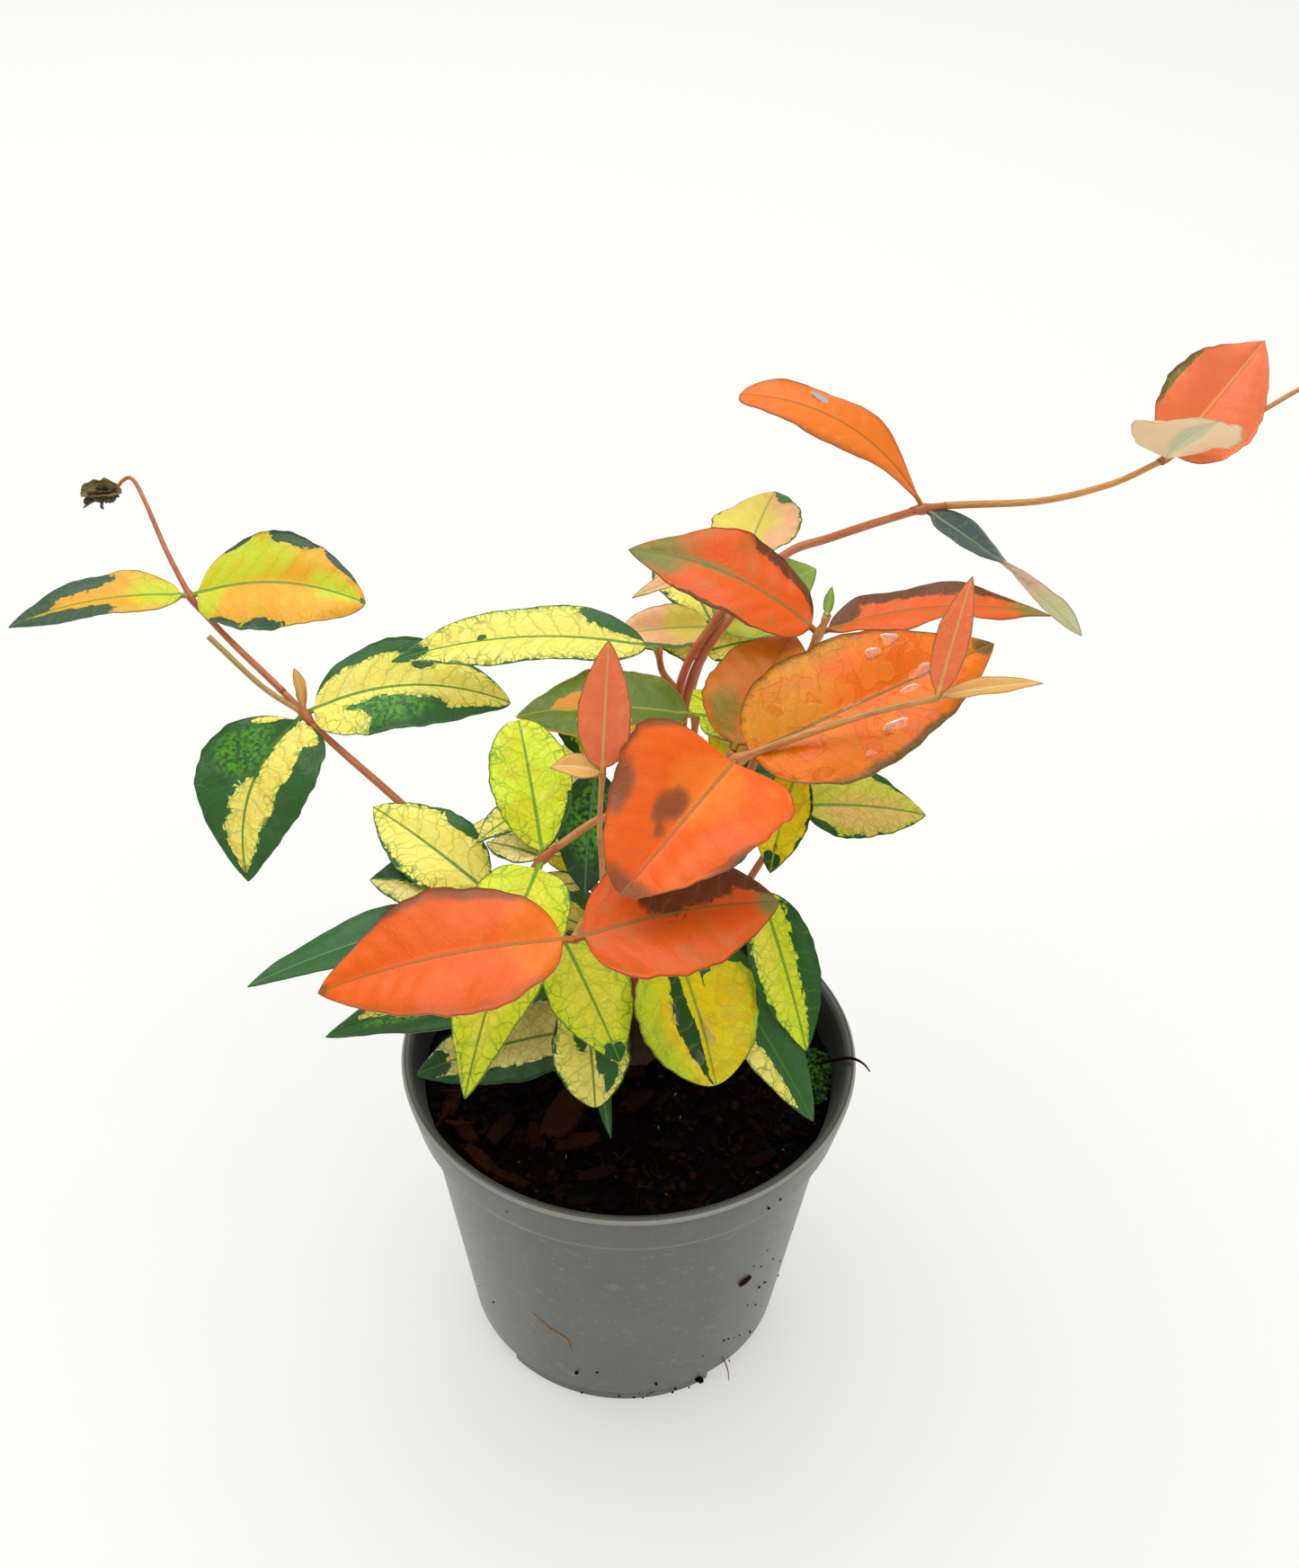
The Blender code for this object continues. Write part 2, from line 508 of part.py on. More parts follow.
def hidden_plan(name, rule):
    """A shoot of the hidden side: its stem arches out from the trunk with pairs of leaves, each pair across the last."""
    draw = random.Random(f"{name} {SEED}")
    heading = math.radians(rule["heading"])
    outward = Vector((math.cos(heading), math.sin(heading), 0))
    start = Vector(beside_trunk(rule["heading"], 1.0, 0))
    stem = []
    for number in range(1, rule["pairs"] + 1):
        share = number / rule["pairs"]
        place = start + outward * rule["reach"] * share
        stem.append((place.x, place.y, SIDE_SHOOT_HEIGHT + rule["rise"] * math.sin(share * math.pi / 2)))
    leaves = []
    for number in range(1, rule["pairs"] + 1):
        for side in (-1, 1):
            length = draw.uniform(*HIDDEN_LEAF_LENGTH)
            spread = 38 if number % 2 else 74
            leaves.append(leaf(number, rule["heading"] + side * spread, draw.uniform(-18, 8), length,
                               length * HIDDEN_LEAF_WIDTH_SHARE, draw.uniform(-12, 12), 0.08, 8))
    return dict(trunk_side=rule["heading"], radius=(1.0, 0.7), stem=stem, leaves=leaves)


def make_trunk():
    """The short woody trunk with its root flare, from a flat cut on the mix to the fork of the shoots."""
    foot = SOIL_EDGE_HEIGHT + SOIL_CROWN + GAP
    levels = ((0, TRUNK_FLARE), (0.12, 5.4), (0.3, 4.7), (0.6, TRUNK_RADIUS), (0.85, 4.4), (1, 4.6))
    shape = bmesh.new()
    rings = []
    for share, radius in levels:
        ring = []
        for side in range(12):
            angle = 2 * math.pi * side / 12
            lobed = radius * (1 + 0.12 * (1 - share) * math.cos(4 * angle))
            ring.append(shape.verts.new(Vector((TRUNK_AT[0] + lobed * math.cos(angle) + TRUNK_LEAN * share,
                                                TRUNK_AT[1] + lobed * math.sin(angle),
                                                foot + TRUNK_HEIGHT * share)) * MM))
        rings.append(ring)
    for low, high in zip(rings, rings[1:]):
        for side in range(12):
            after = (side + 1) % 12
            shape.faces.new((low[side], low[after], high[after], high[side]))
    shape.faces.new(list(reversed(rings[0])))
    shape.faces.new(rings[-1])
    return mesh_object("trunk", shape, material("bark", (0.16, 0.09, 0.05), 0.8))


def main():
    clear_scene()
    make_pot()
    make_mix()
    make_trunk()
    stem_finish = material("young_bark", (0.42, 0.13, 0.05), 0.5)
    plants = []
    for name, (first, last, points) in BOUGHS.items():
        plants.append(mesh_object(name, tube(smooth_route(raised(points), STEM_STEP), first, last), stem_finish))
    for name, plan in SHOOTS.items():
        plants.append(make_shoot(name, plan))
    placed = [tree_of(obj) for obj in plants]
    plans = {name: hidden_plan(name, rule) for name, rule in HIDDEN_SHOOTS.items()}
    stems = {name: BVHTree.FromBMesh(tube(smooth_route(stem_points(plan), STEM_STEP), *plan["radius"]))
             for name, plan in plans.items()}
    for name, plan in plans.items():
        others = [tree for other, tree in stems.items() if other != name]
        placed.append(tree_of(make_shoot(name, plan, placed + others)))


main()
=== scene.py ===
"""The looks of a variegated asiatic jasmine in its round nursery pot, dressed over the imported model.

Lengths in the tables are in millimetres, as on the plant, and every mesh is made in metres. The origin is the
centre of the pot's underside, +Z is up, +X runs along the long trailing shoots and -Y is the plant's front.
"""

import math
import random

import bmesh
import bpy
import numpy as np
from mathutils import Matrix, Vector, noise


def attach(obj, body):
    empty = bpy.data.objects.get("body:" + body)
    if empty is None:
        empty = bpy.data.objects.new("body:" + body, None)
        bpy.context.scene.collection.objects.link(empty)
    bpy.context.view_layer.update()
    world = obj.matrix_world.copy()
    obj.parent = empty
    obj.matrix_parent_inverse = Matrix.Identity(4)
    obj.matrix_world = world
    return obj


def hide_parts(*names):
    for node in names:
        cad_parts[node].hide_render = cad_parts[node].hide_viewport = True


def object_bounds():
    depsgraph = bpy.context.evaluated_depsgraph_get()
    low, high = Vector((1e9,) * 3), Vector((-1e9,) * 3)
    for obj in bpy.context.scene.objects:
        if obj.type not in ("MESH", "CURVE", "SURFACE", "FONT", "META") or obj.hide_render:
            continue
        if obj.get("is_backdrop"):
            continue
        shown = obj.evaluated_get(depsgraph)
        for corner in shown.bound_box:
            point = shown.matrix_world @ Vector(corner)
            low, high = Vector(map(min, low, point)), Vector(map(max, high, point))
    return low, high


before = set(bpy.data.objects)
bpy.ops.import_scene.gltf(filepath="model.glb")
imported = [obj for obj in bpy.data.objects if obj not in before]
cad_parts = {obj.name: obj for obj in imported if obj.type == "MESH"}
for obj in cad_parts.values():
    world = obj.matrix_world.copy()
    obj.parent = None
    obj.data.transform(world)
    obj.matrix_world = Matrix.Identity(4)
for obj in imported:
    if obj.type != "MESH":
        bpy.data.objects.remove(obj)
cad_low, cad_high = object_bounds()

MM = 0.001
GAP = 0.3
SEED = 7

# The pot and its mix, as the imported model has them.
RIM_RADIUS = 52.5
POT_HEIGHT = 84.2
LIP_WIDTH = 2.8
COLLAR_HEIGHT = 12.0
COLLAR_FOOT_RADIUS = 50.3
BODY_TOP_RADIUS = 47.4
BODY_FOOT_RADIUS = 38.4
FOOT_RADIUS = 37.0
FOOT_HEIGHT = 5.0
FLOOR_THICKNESS = 1.6
WALL = 1.2
DRAIN_NOTCHES = 3
DRAIN_NOTCH_WIDTH = 26.0
DRAIN_NOTCH_HEIGHT = 4.8
FIRST_NOTCH = 85
DRAIN_NOTCH_DEPTH = 4.5
SOIL_EDGE_HEIGHT = 76.0
SOIL_CROWN = 2.5

# How finely the pot and the mix are turned, the pot's rounding, and the bare ring round the trunk.
POT_SEGMENTS, MIX_SEGMENTS, MIX_RINGS = 192, 140, 56
ARC_STEPS = 5
POT_ROUNDING = 0.6
BARE_ROUND_TRUNK = 8
LUMP_ROUGHNESS = 0.35

# The trunk.
TRUNK_ROWS, TRUNK_SIDES = 36, 48
TRUNK_AT = (1.0, 3.0)
TRUNK_HEIGHT = 14.0
TRUNK_RADIUS = 4.2
TRUNK_FLARE = 6.4
TRUNK_LEAN = 1.5
TRUNK_FORM = ([0, 0.12, 0.3, 0.6, 0.85, 1], [TRUNK_FLARE, 5.4, 4.7, TRUNK_RADIUS, 4.4, 4.6])
SIDE_SHOOT_HEIGHT = -5.0
BOUGH_BASE = SOIL_EDGE_HEIGHT + SOIL_CROWN + GAP + TRUNK_HEIGHT + GAP

# Leaves and stems.
PETIOLE_HALF_WIDTH = 0.75
PETIOLE_THICKNESS = 1.2
PETIOLE_SHARE = 0.05
WIDEST_AT = 0.42
ROUND_FOOT = 0.55
ACUTE_TIP = 0.8
LEAF_THICKNESS = 0.36
LEAF_ROWS = 57
LEAF_COLUMNS = 25
MIDRIB_HALF_WIDTH = 0.3
LATERAL_SPACING = 4.6
LATERAL_SLANT = 0.62
QUILTING = 0.3
QUILTED_WIDTH = 18
RUFFLE = 0.16
RUFFLED_WIDTH = 24
RUFFLES_PER_WAVE = 3.3
WAVE = 0.07
DENTS = 0.014
STEM_SIDES = 14
STEM_STEP = 0.9
STEM_REACH = 0.7
NODE_SWELL = 0.55
SWELL_REACH = 1.7
HIDDEN_LEAF_LENGTH = (22, 29)
HIDDEN_LEAF_WIDTH_SHARE = 0.46


def leaf(node, heading, pitch, length, width, roll=0, arch=0.06, fold=8, bend=0, widest=WIDEST_AT, twist=0,
         wave=1.0, tip=ACUTE_TIP, look="cream", margin=None, dark=(), clear=(), tint=(), bright=(), drops=(),
         wet=0.0):
    """One leaf: node counts the stem's points, angles are in degrees and lengths in millimetres. The smaller
    tip is, the blunter the leaf ends.

    dark, clear, tint and bright are ovals on the blade, as (along, across, half length, half width): along
    runs from 0 at the foot to 1 at the tip and across from -1 to 1. dark adds the patch colour, clear takes
    it away, tint brings in the look's second colour and bright is where the patch is mottled with fresh
    green. drops are water drops, as (along, across, length, width in millimetres), and wet is how strongly a
    film of water shows.
    """
    return dict(locals())


# Colours of a blade: ground and second colour of its pale part, its patches, its veins, how broad the patch
# colour is along the margin as a share of the half width, how strong the net of veins is, how much of it
# shows far from any patch and how softly patches end.
BLADE_COLOURS = ("ground", "second", "patch", "vein")
LOOKS = {
    "cream": ("#FCEE6C", "#FFF8A4", "#366430", "#3E8420", 0.1, 1.0, 0.12, 0.05),
    "lime": ("#DEEC2A", "#F4EE48", "#265C1A", "#5E9E24", -0.1, 1.0, 0.2, 0.06),
    "green": ("#376734", "#2E5C2C", "#234E26", "#648F5C", -0.2, 0.15, 0.1, 0.05),
    "tan": ("#E8D67C", "#F6E69C", "#264E22", "#447C28", 0.1, 0.9, 0.3, 0.05),
    "yellow": ("#F2DA08", "#BCDA20", "#1E4C14", "#8CA818", -0.1, 0.7, 0.2, 0.06),
    "straw": ("#DCDC50", "#F4CC74", "#265C1A", "#5A9A20", 0.02, 0.8, 0.3, 0.08),
    "blush": ("#F6B888", "#E8D858", "#4E7A30", "#A8B04A", -0.1, 0.4, 0.2, 0.1),
    "sunset": ("#F8B030", "#D4DC30", "#3E5A42", "#6A9A30", -0.1, 0.45, 0.1, 0.06),
    "orange": ("#EE600C", "#F27C1C", "#96502A", "#A8702A", -0.2, 0.3, 0.12, 0.7),
    "ember": ("#EA5E0E", "#7E8438", "#6E3C1C", "#8E7430", -0.2, 0.35, 0.12, 0.22),
    "amber": ("#F2760A", "#DE8C0C", "#74541A", "#8A7430", -0.2, 0.55, 0.16, 0.4),
    "coral": ("#F2764A", "#F48A4C", "#7A6A34", "#E8AA60", -0.2, 0.35, 0.2, 0.3),
    "peach": ("#FFC68C", "#E0D08C", "#96AE78", "#C4CC7C", -0.2, 0.3, 0.2, 0.5),
    "slate": ("#E87838", "#CCDC84", "#4E5C56", "#8C9A74", -0.2, 0.2, 0.2, 0.15),
    "sage": ("#90B44A", "#C0CC44", "#54803A", "#B0CC6C", -0.1, 0.3, 0.2, 0.1),
    "olive": ("#5E7420", "#7E8826", "#D88A1C", "#94A038", -0.2, 0.3, 0.2, 0.12),
    "russet": ("#CE6C08", "#90780A", "#60601C", "#9A7A1C", -0.2, 0.5, 0.2, 0.2),
    "honey": ("#E4AC5C", "#F0C47C", "#B4733A", "#E8C880", -0.2, 0.3, 0.2, 0.2),
}

# Each bough runs from the trunk, or on from a pair of leaves, to the shoot that it carries: its first and
# last radius and its points. Heights count from the foot of the boughs.
BOUGHS = {
    "bough_left_lower": (1.15, 0.8, [(-1.2, 3.4, 0.8), (-14, 2, 20), (-34, 5, 37.2), (-54, 17, 49),
        (-72, 29, 58.2)]),
    "bough_left_outer": (0.8, 0.7, [(-79.8, 36.2, 62.6), (-91, 47, 66), (-101.4, 56.6, 70.6)]),
    "bough_right_lower": (1.2, 0.95, [(4.4, 6.1, 0.6), (9, 21, 28), (11, 37, 64), (21, 48, 79),
        (32, 62, 85.5), (44, 70, 86.6), (63, 81.5, 87.4)]),
    "bough_right_outer": (0.9, 0.75, [(71.8, 84.2, 88), (94, 88, 87.8), (112, 96, 88.4), (125.3, 103.6, 91)]),
    "bough_twin": (1.1, 0.9, [(1.9, 6.5, 0.6), (6.8, 19.7, 28.6), (8.8, 35.6, 64.8), (17.6, 46.2, 79.8)]),
    "bough_back": (1.1, 0.9, [(-0.8, 5.9, 0.9), (4, 34, 26), (13, 58, 54)]),
    "bough_centre": (1.2, 0.85, [(5.9, 3.4, 0.6), (18, 14, 38), (30, 21, 70), (36.5, 22.5, 86)]),
    "bough_crown": (1.2, 0.85, [(4.6, 0.6, 0.5), (12, -4, 30), (17, -8, 60), (19.3, -11.5, 80)]),
    "bough_front": (1.1, 0.8, [(2, -0.4, 0.4), (-1, -6, 24), (-4, -17, 44), (-8, -31, 56)]),
    "bough_low_left": (1.05, 0.8, [(-0.8, 0.8, 0.4), (-1.6, 2, 30), (0, -2, 56), (-6, -9, 64),
        (-15, -15, 61)]),
    "bough_inner": (1.05, 0.85, [(2.4, 3.2, 0.4), (6, 8, 30), (11, 13, 58)]),
}

# How far the bark of some boughs has turned from rust red to tan, at their first and last point.
STEM_TONES = {
    "bough_right_lower": (0.0, 0.4), "bough_right_outer": (0.9, 1.0), "bough_twin": (0.0, 0.1),
    "bough_left_lower": (0.3, 0.3), "bough_left_outer": (0.2, 0.3), "bough_low_left": (0.3, 0.7),
}

# Each shoot is a stem through its nodes with the leaves that they carry. One with a trunk_side starts beside
# the trunk, at that heading in degrees round it. Side twigs carry on the count of the nodes. tone is how far
# the stem's rust red has turned to tan.
SHOOTS = {
    "leaves_left_near": dict(
        radius=(0.85, 0.8), stem=[(-72.5, 29.5, 58.6), (-74, 31, 59.8), (-79.2, 35.7, 62.2)],
        leaves=[
            leaf(1, -113, -45, 39, 26, -20, 0.08, 6, 0.14, 0.37, look="cream", margin=1.6, wet=0.3,
                 clear=[(0.3, -0.28, 0.3, 0.26), (0.62, -0.1, 0.2, 0.42), (0.8, 0, 0.16, 0.5),
                 (0.1, -0.5, 0.08, 0.35), (0.08, 0.7, 0.06, 0.2)], bright=[(0.3, 0.42, 0.2, 0.5)],
                 drops=[(0.95, 0.1, 3, 1.6)]),
            leaf(1, 1, 5, 46, 23, 30, 0.05, 6, -0.1, 0.38, tip=0.65, look="cream", margin=0.08,
                 dark=[(0.3, -1, 0.34, 0.36), (0.62, -0.98, 0.2, 0.3), (0.42, 0.62, 0.28, 0.42),
                 (0.75, 0.92, 0.25, 0.3), (0.58, -0.5, 0.06, 0.16)], clear=[(0.17, 0.75, 0.17, 0.4)],
                 bright=[(0.42, 0.5, 0.25, 0.4)]),
        ],
        twigs=[(0.65, [(-75, 31.4, 60.2), (-84, 35.8, 63.8), (-97, 45, 70.5)])],
        buds=[
            leaf(1, 118, 62, 10.5, 3.2, 10, 0.04, 30, 0, 0.62, look="honey"),
            leaf(1, 100, 55, 8.0, 2.6, -20, 0.1, 34, 0, 0.6, look="honey"),
        ],
    ),
    "leaves_left_far": dict(
        radius=(0.7, 0.45),
        stem=[(-101.9, 57, 70.9), (-104, 59, 72.6), (-111, 70, 77), (-118, 82, 83.5), (-122.5, 89, 86.5),
            (-125, 90, 86), (-127, 89, 84)],
        leaves=[
            leaf(1, -166, -5, 41, 16, -8, 0.08, 10, look="sunset", dark=[(0.74, -0.75, 0.34, 0.5),
                 (0.6, 0.75, 0.2, 0.4), (0.9, 0.5, 0.2, 0.6), (0.98, 0, 0.1, 0.9)],
                 tint=[(0.1, 0, 0.25, 1.2)]),
            leaf(1, -8, 4, 42, 25, 33, 0.05, 6, -0.08, tip=0.62, look="sunset",
                 dark=[(0.56, -0.98, 0.14, 0.26), (0.84, -0.95, 0.1, 0.2), (1.0, 0, 0.03, 0.5),
                 (0.47, 0.98, 0.13, 0.2), (0.26, 0.98, 0.1, 0.14), (0.24, -0.98, 0.08, 0.14)],
                 tint=[(0.3, -0.6, 0.34, 0.7), (0.86, -0.1, 0.2, 0.5), (0.08, 0.3, 0.16, 0.9)]),
        ],
    ),
    "leaves_right_near": dict(
        radius=(0.95, 0.9), stem=[(63.5, 81.8, 87.5), (66, 82.6, 87.7), (71.4, 84.1, 88)],
        leaves=[
            leaf(1, 165, 26, 51, 18, -10, 0.14, 4, 0.04, 0.6, tip=0.4, look="orange", margin=0.03, wave=2,
                 tint=[(0.5, 0, 0.75, 1.6)], drops=[(0.66, 0.45, 6, 2.4)]),
            leaf(1, -18, -32, 49, 15, 25, 0.05, 8, look="slate", twist=-105, margin=0.0,
                 dark=[(0.22, 0, 0.38, 1.6)], clear=[(0.54, 0.7, 0.1, 0.5)], tint=[(0.9, 0, 0.3, 1.7)]),
        ],
    ),
    "leaves_right_far": dict(
        radius=(0.75, 0.45),
        stem=[(125.8, 103.8, 91.2), (127, 104.5, 91.6), (147, 114, 97.5), (166, 124, 104.5),
            (181, 131, 109.5), (192, 137, 115)],
        tone=(0.5, 0.95),
        leaves=[
            leaf(1, 46, 26, 44, 26, 34, 0.05, 8, 0, 0.38, tip=0.95, look="coral",
                 dark=[(0.42, -0.97, 0.22, 0.14)]),
            leaf(1, -74, 45, 26, 27, -14, 0.04, 8, 0, 0.4, tip=0.8, look="peach", dark=[(0.6, 0, 0.5, 0.24)]),
            leaf(4, 80, 30, 22, 10, 0, 0.06, 14, look="coral"),
            leaf(4, -30, 10, 20, 9, 10, 0.06, 14, look="coral"),
            leaf(5, 30, 50, 11, 4, 0, 0.05, 20, look="honey"),
        ],
    ),
    "leaves_back": dict(
        radius=(0.9, 0.7),
        stem=[(13.3, 58.7, 54.8), (15, 60.3, 60), (17, 62, 66), (22, 66, 76), (24, 68, 80)],
        leaves=[
            leaf(4, 72, 16, 25, 22, -10, 0.05, 8, look="blush", margin=0.04, tint=[(0.5, -0.5, 0.6, 1.1)],
                 dark=[(0.92, 0.7, 0.16, 0.4)]),
            leaf(2, 22, 23, 28, 22, 20, 0.05, 8, look="sage", tint=[(0.3, 0.5, 0.4, 0.6)]),
            leaf(4, -160, -9, 28, 7, -10, 0.05, 20, look="blush", tint=[(0.1, 0, 0.5, 1)]),
            leaf(2, -168, 0, 24, 13, -20, 0.05, 10, look="blush", dark=[(0.55, -0.98, 0.35, 0.14)],
                 tint=[(0.25, 0.2, 0.3, 1.2)]),
            leaf(1, 178, 22, 14, 11, -20, 0.05, 8, look="cream", dark=[(0.95, 0, 0.36, 1.2)]),
            leaf(1, 2, 14, 20, 12, 20, 0.05, 8, look="cream"),
            leaf(2, 110, 0, 34, 18, 0, 0.08, 8, look="cream"),
        ],
    ),
    "leaves_centre": dict(
        radius=(0.85, 0.6), stem=[(36.7, 22.6, 86.6), (37.5, 22.6, 89.5), (38.5, 22.8, 92), (39, 23, 94)],
        tone=(0.5, 0.9),
        leaves=[
            leaf(1, 160, 14, 44, 21, -22, 0.08, 6, 0.05, look="ember", wave=1.6, dark=[(0.2, 0.98, 0.3, 0.34),
                 (0.5, -0.99, 0.3, 0.08)], tint=[(1.0, 0, 0.36, 1.3), (0.7, 0, 0.3, 0.16)]),
            leaf(1, 11, 0, 51, 15, 2, 0.05, 12, -0.05, look="ember", wave=2.6, dark=[(0.5, -0.98, 0.5, 0.55),
                 (0.1, -0.5, 0.1, 0.5)], tint=[(1.0, 0, 0.2, 1.3)]),
            leaf(3, 70, 70, 6, 2.4, 0, 0.02, 20, look="sage"),
        ],
    ),
    "leaves_crown": dict(
        radius=(0.85, 0.6),
        stem=[(19.5, -12, 80.8), (20, -12.5, 82), (33, -12, 88), (46, -11, 93), (58, -10, 96)],
        tone=(0.7, 1.0),
        leaves=[
            leaf(1, 27, 11, 60, 31, 22, 0.05, 6, 0.02, 0.36, look="amber", margin=0.02, wet=0.6,
                 dark=[(0.98, -0.1, 0.06, 0.9), (0.5, 1.0, 0.3, 0.1)], tint=[(0.05, -0.4, 0.36, 0.9),
                 (0.35, -0.9, 0.25, 0.3)], drops=[(0.65, -0.72, 5, 3), (0.56, -0.56, 3.4, 2.4),
                 (0.69, -0.06, 7, 3), (0.63, 0.16, 5, 2), (0.42, -0.02, 5, 1.3), (0.5, 0.55, 6, 3),
                 (0.38, 0.74, 3, 1.6), (0.69, 0.6, 6, 2), (0.8, -0.5, 2.4, 1.6)]),
            leaf(1, -125, -14, 39, 37, -14, 0.08, 20, -0.02, 0.26, tip=0.5, look="orange",
                 dark=[(0.6, 0.9, 0.14, 0.2), (0.48, 0.18, 0.1, 0.14), (0.54, 0.28, 0.09, 0.12),
                 (0.64, 0.14, 0.05, 0.06), (0.99, 0, 0.08, 1.2), (0.14, 0.96, 0.14, 0.12),
                 (0.62, -0.98, 0.14, 0.08), (0.35, 0.99, 0.14, 0.06)], tint=[(0.3, 0, 0.3, 0.5)]),
            leaf(4, 63, 60, 24, 7, 0, 0.03, 14, look="coral"),
            leaf(4, 16, 0, 22, 5, 10, 0.03, 20, look="honey"),
        ],
    ),
    "leaves_crown_back": dict(
        radius=(0.8, 0.7), stem=[(14.5, -7.2, 60), (14.6, -4, 66), (20, 0, 75)],
        leaves=[leaf(2, 64, 24, 31, 23, 0, 0.06, 8, look="russet", tint=[(0.22, -0.5, 0.2, 0.4)])],
    ),
    "leaves_front": dict(
        radius=(0.8, 0.7), stem=[(-8.2, -31.6, 56.4), (-9.2, -37, 59.5), (-10.3, -43, 61)], tone=(0.5, 0.8),
        leaves=[
            leaf(2, -169, -8, 49, 27, -20, 0.09, 6, look="orange", margin=0.03, dark=[(0.36, 0.98, 0.22, 0.2),
                 (0.62, 0.98, 0.12, 0.14), (1.0, 0, 0.04, 1)], tint=[(0.0, 0, 0.3, 1.4)]),
            leaf(2, 12, 5, 40, 28, 20, 0.08, 6, look="ember", dark=[(0.47, -0.52, 0.15, 0.6),
                 (0.62, -0.56, 0.18, 0.5), (0.8, -0.8, 0.18, 0.4)], tint=[(1.0, 0, 0.14, 1.2)]),
        ],
    ),
    "leaves_low_left": dict(
        radius=(0.8, 0.7), stem=[(-15.8, -15.5, 60.6), (-18, -17, 59.4), (-20.5, -18.5, 57)],
        leaves=[
            leaf(1, 104, 30, 31, 17, 0, 0.06, 8, 0, 0.5, tip=0.45, look="lime",
                 dark=[(0.2, 0.97, 0.26, 0.16)], wet=0.4, drops=[(0.9, 0.1, 2, 1.2)]),
            leaf(1, -112, -43, 50, 22, 0, 0.08, 6, 0, 0.27, look="lime", tint=[(0.5, 0, 0.5, 0.6)]),
            leaf(1, 150, -8, 14, 8, -10, 0.05, 8, look="tan"),
        ],
    ),
    "leaves_inner": dict(
        radius=(0.85, 0.7), stem=[(11.1, 13.1, 58.8), (12, 14, 64), (12.5, 15, 73)],
        twigs=[(0.7, [(12, 14, 64), (2, 12, 66), (-8, 10, 63)])],
        leaves=[
            leaf(2, 180, -2, 38, 22, -8, 0.07, 8, look="olive", dark=[(0.66, 0.15, 0.14, 0.3),
                 (0.5, -0.5, 0.16, 0.16), (0.3, -0.85, 0.25, 0.12)]),
            leaf(2, -22, 5, 26, 14, 20, 0.07, 8, look="lime"),
            leaf(5, -100, -64, 28, 14, 0, 0.1, 8, look="green", bright=[(0.4, 0, 0.4, 0.8)], margin=1.5),
            leaf(5, 100, 18, 25, 16, 0, 0.06, 8, look="lime", margin=0.3, bright=[(0.5, 0, 0.5, 0.8)]),
        ],
    ),
    "leaves_twin": dict(
        radius=(0.8, 0.7), stem=[(7.9, 35.1, 67), (5.2, 32.2, 73), (4.2, 30, 80)],
        leaves=[
            leaf(2, 180, -5, 58, 17.5, -14, 0.05, 8, 0.045, look="cream", margin=0.03, wave=1.6,
                 dark=[(0.12, 0.75, 0.16, 0.4), (0.99, 0, 0.12, 1.2), (0.66, 0.1, 0.02, 0.1)]),
        ],
    ),
    "shoot_young_front": dict(
        radius=(0.65, 0.5), stem=[(-5.6, -20.9, 50.2), (-5.9, -20.6, 60), (-6.4, -22.4, 72), (-6, -21, 84)],
        tone=(0.8, 1.0),
        leaves=[
            leaf(3, 85, 70, 26, 10.5, 0, 0.03, 12, look="coral"),
            leaf(3, 179, 5, 10, 6, -20, 0.1, 20, look="honey"),
        ],
    ),
    "skirt_left": dict(
        trunk_side=195, radius=(1.0, 0.7), stem=[(-14, -4, 14), (-27, -5, 36), (-30, -8, 42)],
        leaves=[
            leaf(3, 146, 15, 33, 18, -22, 0.07, 8, look="cream", margin=0.08,
                 dark=[(0.42, 0.95, 0.16, 0.26)]),
            leaf(3, 172, 0, 26, 17, -15, 0.07, 8, look="tan", dark=[(0.6, 0.7, 0.6, 0.8)]),
            leaf(2, -165, -12, 57, 14, -2, 0.05, 10, look="green"),
            leaf(1, -164, -5, 54, 16, -8, 0.05, 8, look="cream", margin=1.6, clear=[(0.62, 0.4, 0.24, 0.36)],
                 bright=[(0.7, -0.2, 0.2, 0.4)]),
        ],
    ),
    "skirt_front": dict(
        trunk_side=240, radius=(1.0, 0.7), stem=[(-5, -9, 5), (-10, -12, 20), (-15, -10, 33)],
        leaves=[
            leaf(1, -172, -14, 44, 20, -20, 0.09, 8, look="tan", margin=0.14, dark=[(0.5, -0.96, 0.5, 0.36),
                 (0.97, 0, 0.16, 1), (0.7, 0.4, 0.05, 0.8)]),
            leaf(2, -80, -42, 26, 17, 0, 0.08, 8, 0, 0.5, tip=0.6, look="cream", margin=0.06,
                 dark=[(0.38, 0.22, 0.16, 0.2), (0.6, -0.3, 0.15, 0.2), (0.76, -0.55, 0.12, 0.2)]),
            leaf(3, -58, -32, 30, 18, 12, 0.07, 8, look="lime", dark=[(0.98, 0, 0.12, 1)],
                 tint=[(0.5, 0, 0.5, 0.8)]),
            leaf(1, -86, -16, 27, 5, 30, 0.1, 10, look="green"),
        ],
    ),
    "skirt_right": dict(
        trunk_side=300, radius=(1.0, 0.7), stem=[(7, -7, 14), (9, -12, 33), (14, -10, 35), (26.5, -5, 44)],
        leaves=[
            leaf(2, -66, -40, 31, 28, 0, 0.08, 6, 0, 0.42, tip=0.55, look="yellow",
                 dark=[(0.62, 0.26, 0.36, 0.16), (0.3, 0.25, 0.2, 0.12)], wet=0.45,
                 tint=[(0.5, 0.95, 0.6, 0.45), (0.1, 0, 0.2, 1.2), (0.5, -0.98, 0.4, 0.14)],
                 drops=[(0.6, -0.1, 9, 2.4), (0.8, 0.3, 4, 3), (0.45, 0.4, 5, 2)]),
            leaf(3, -40, -45, 48, 14.5, 22, 0.07, 8, look="cream", margin=1.6,
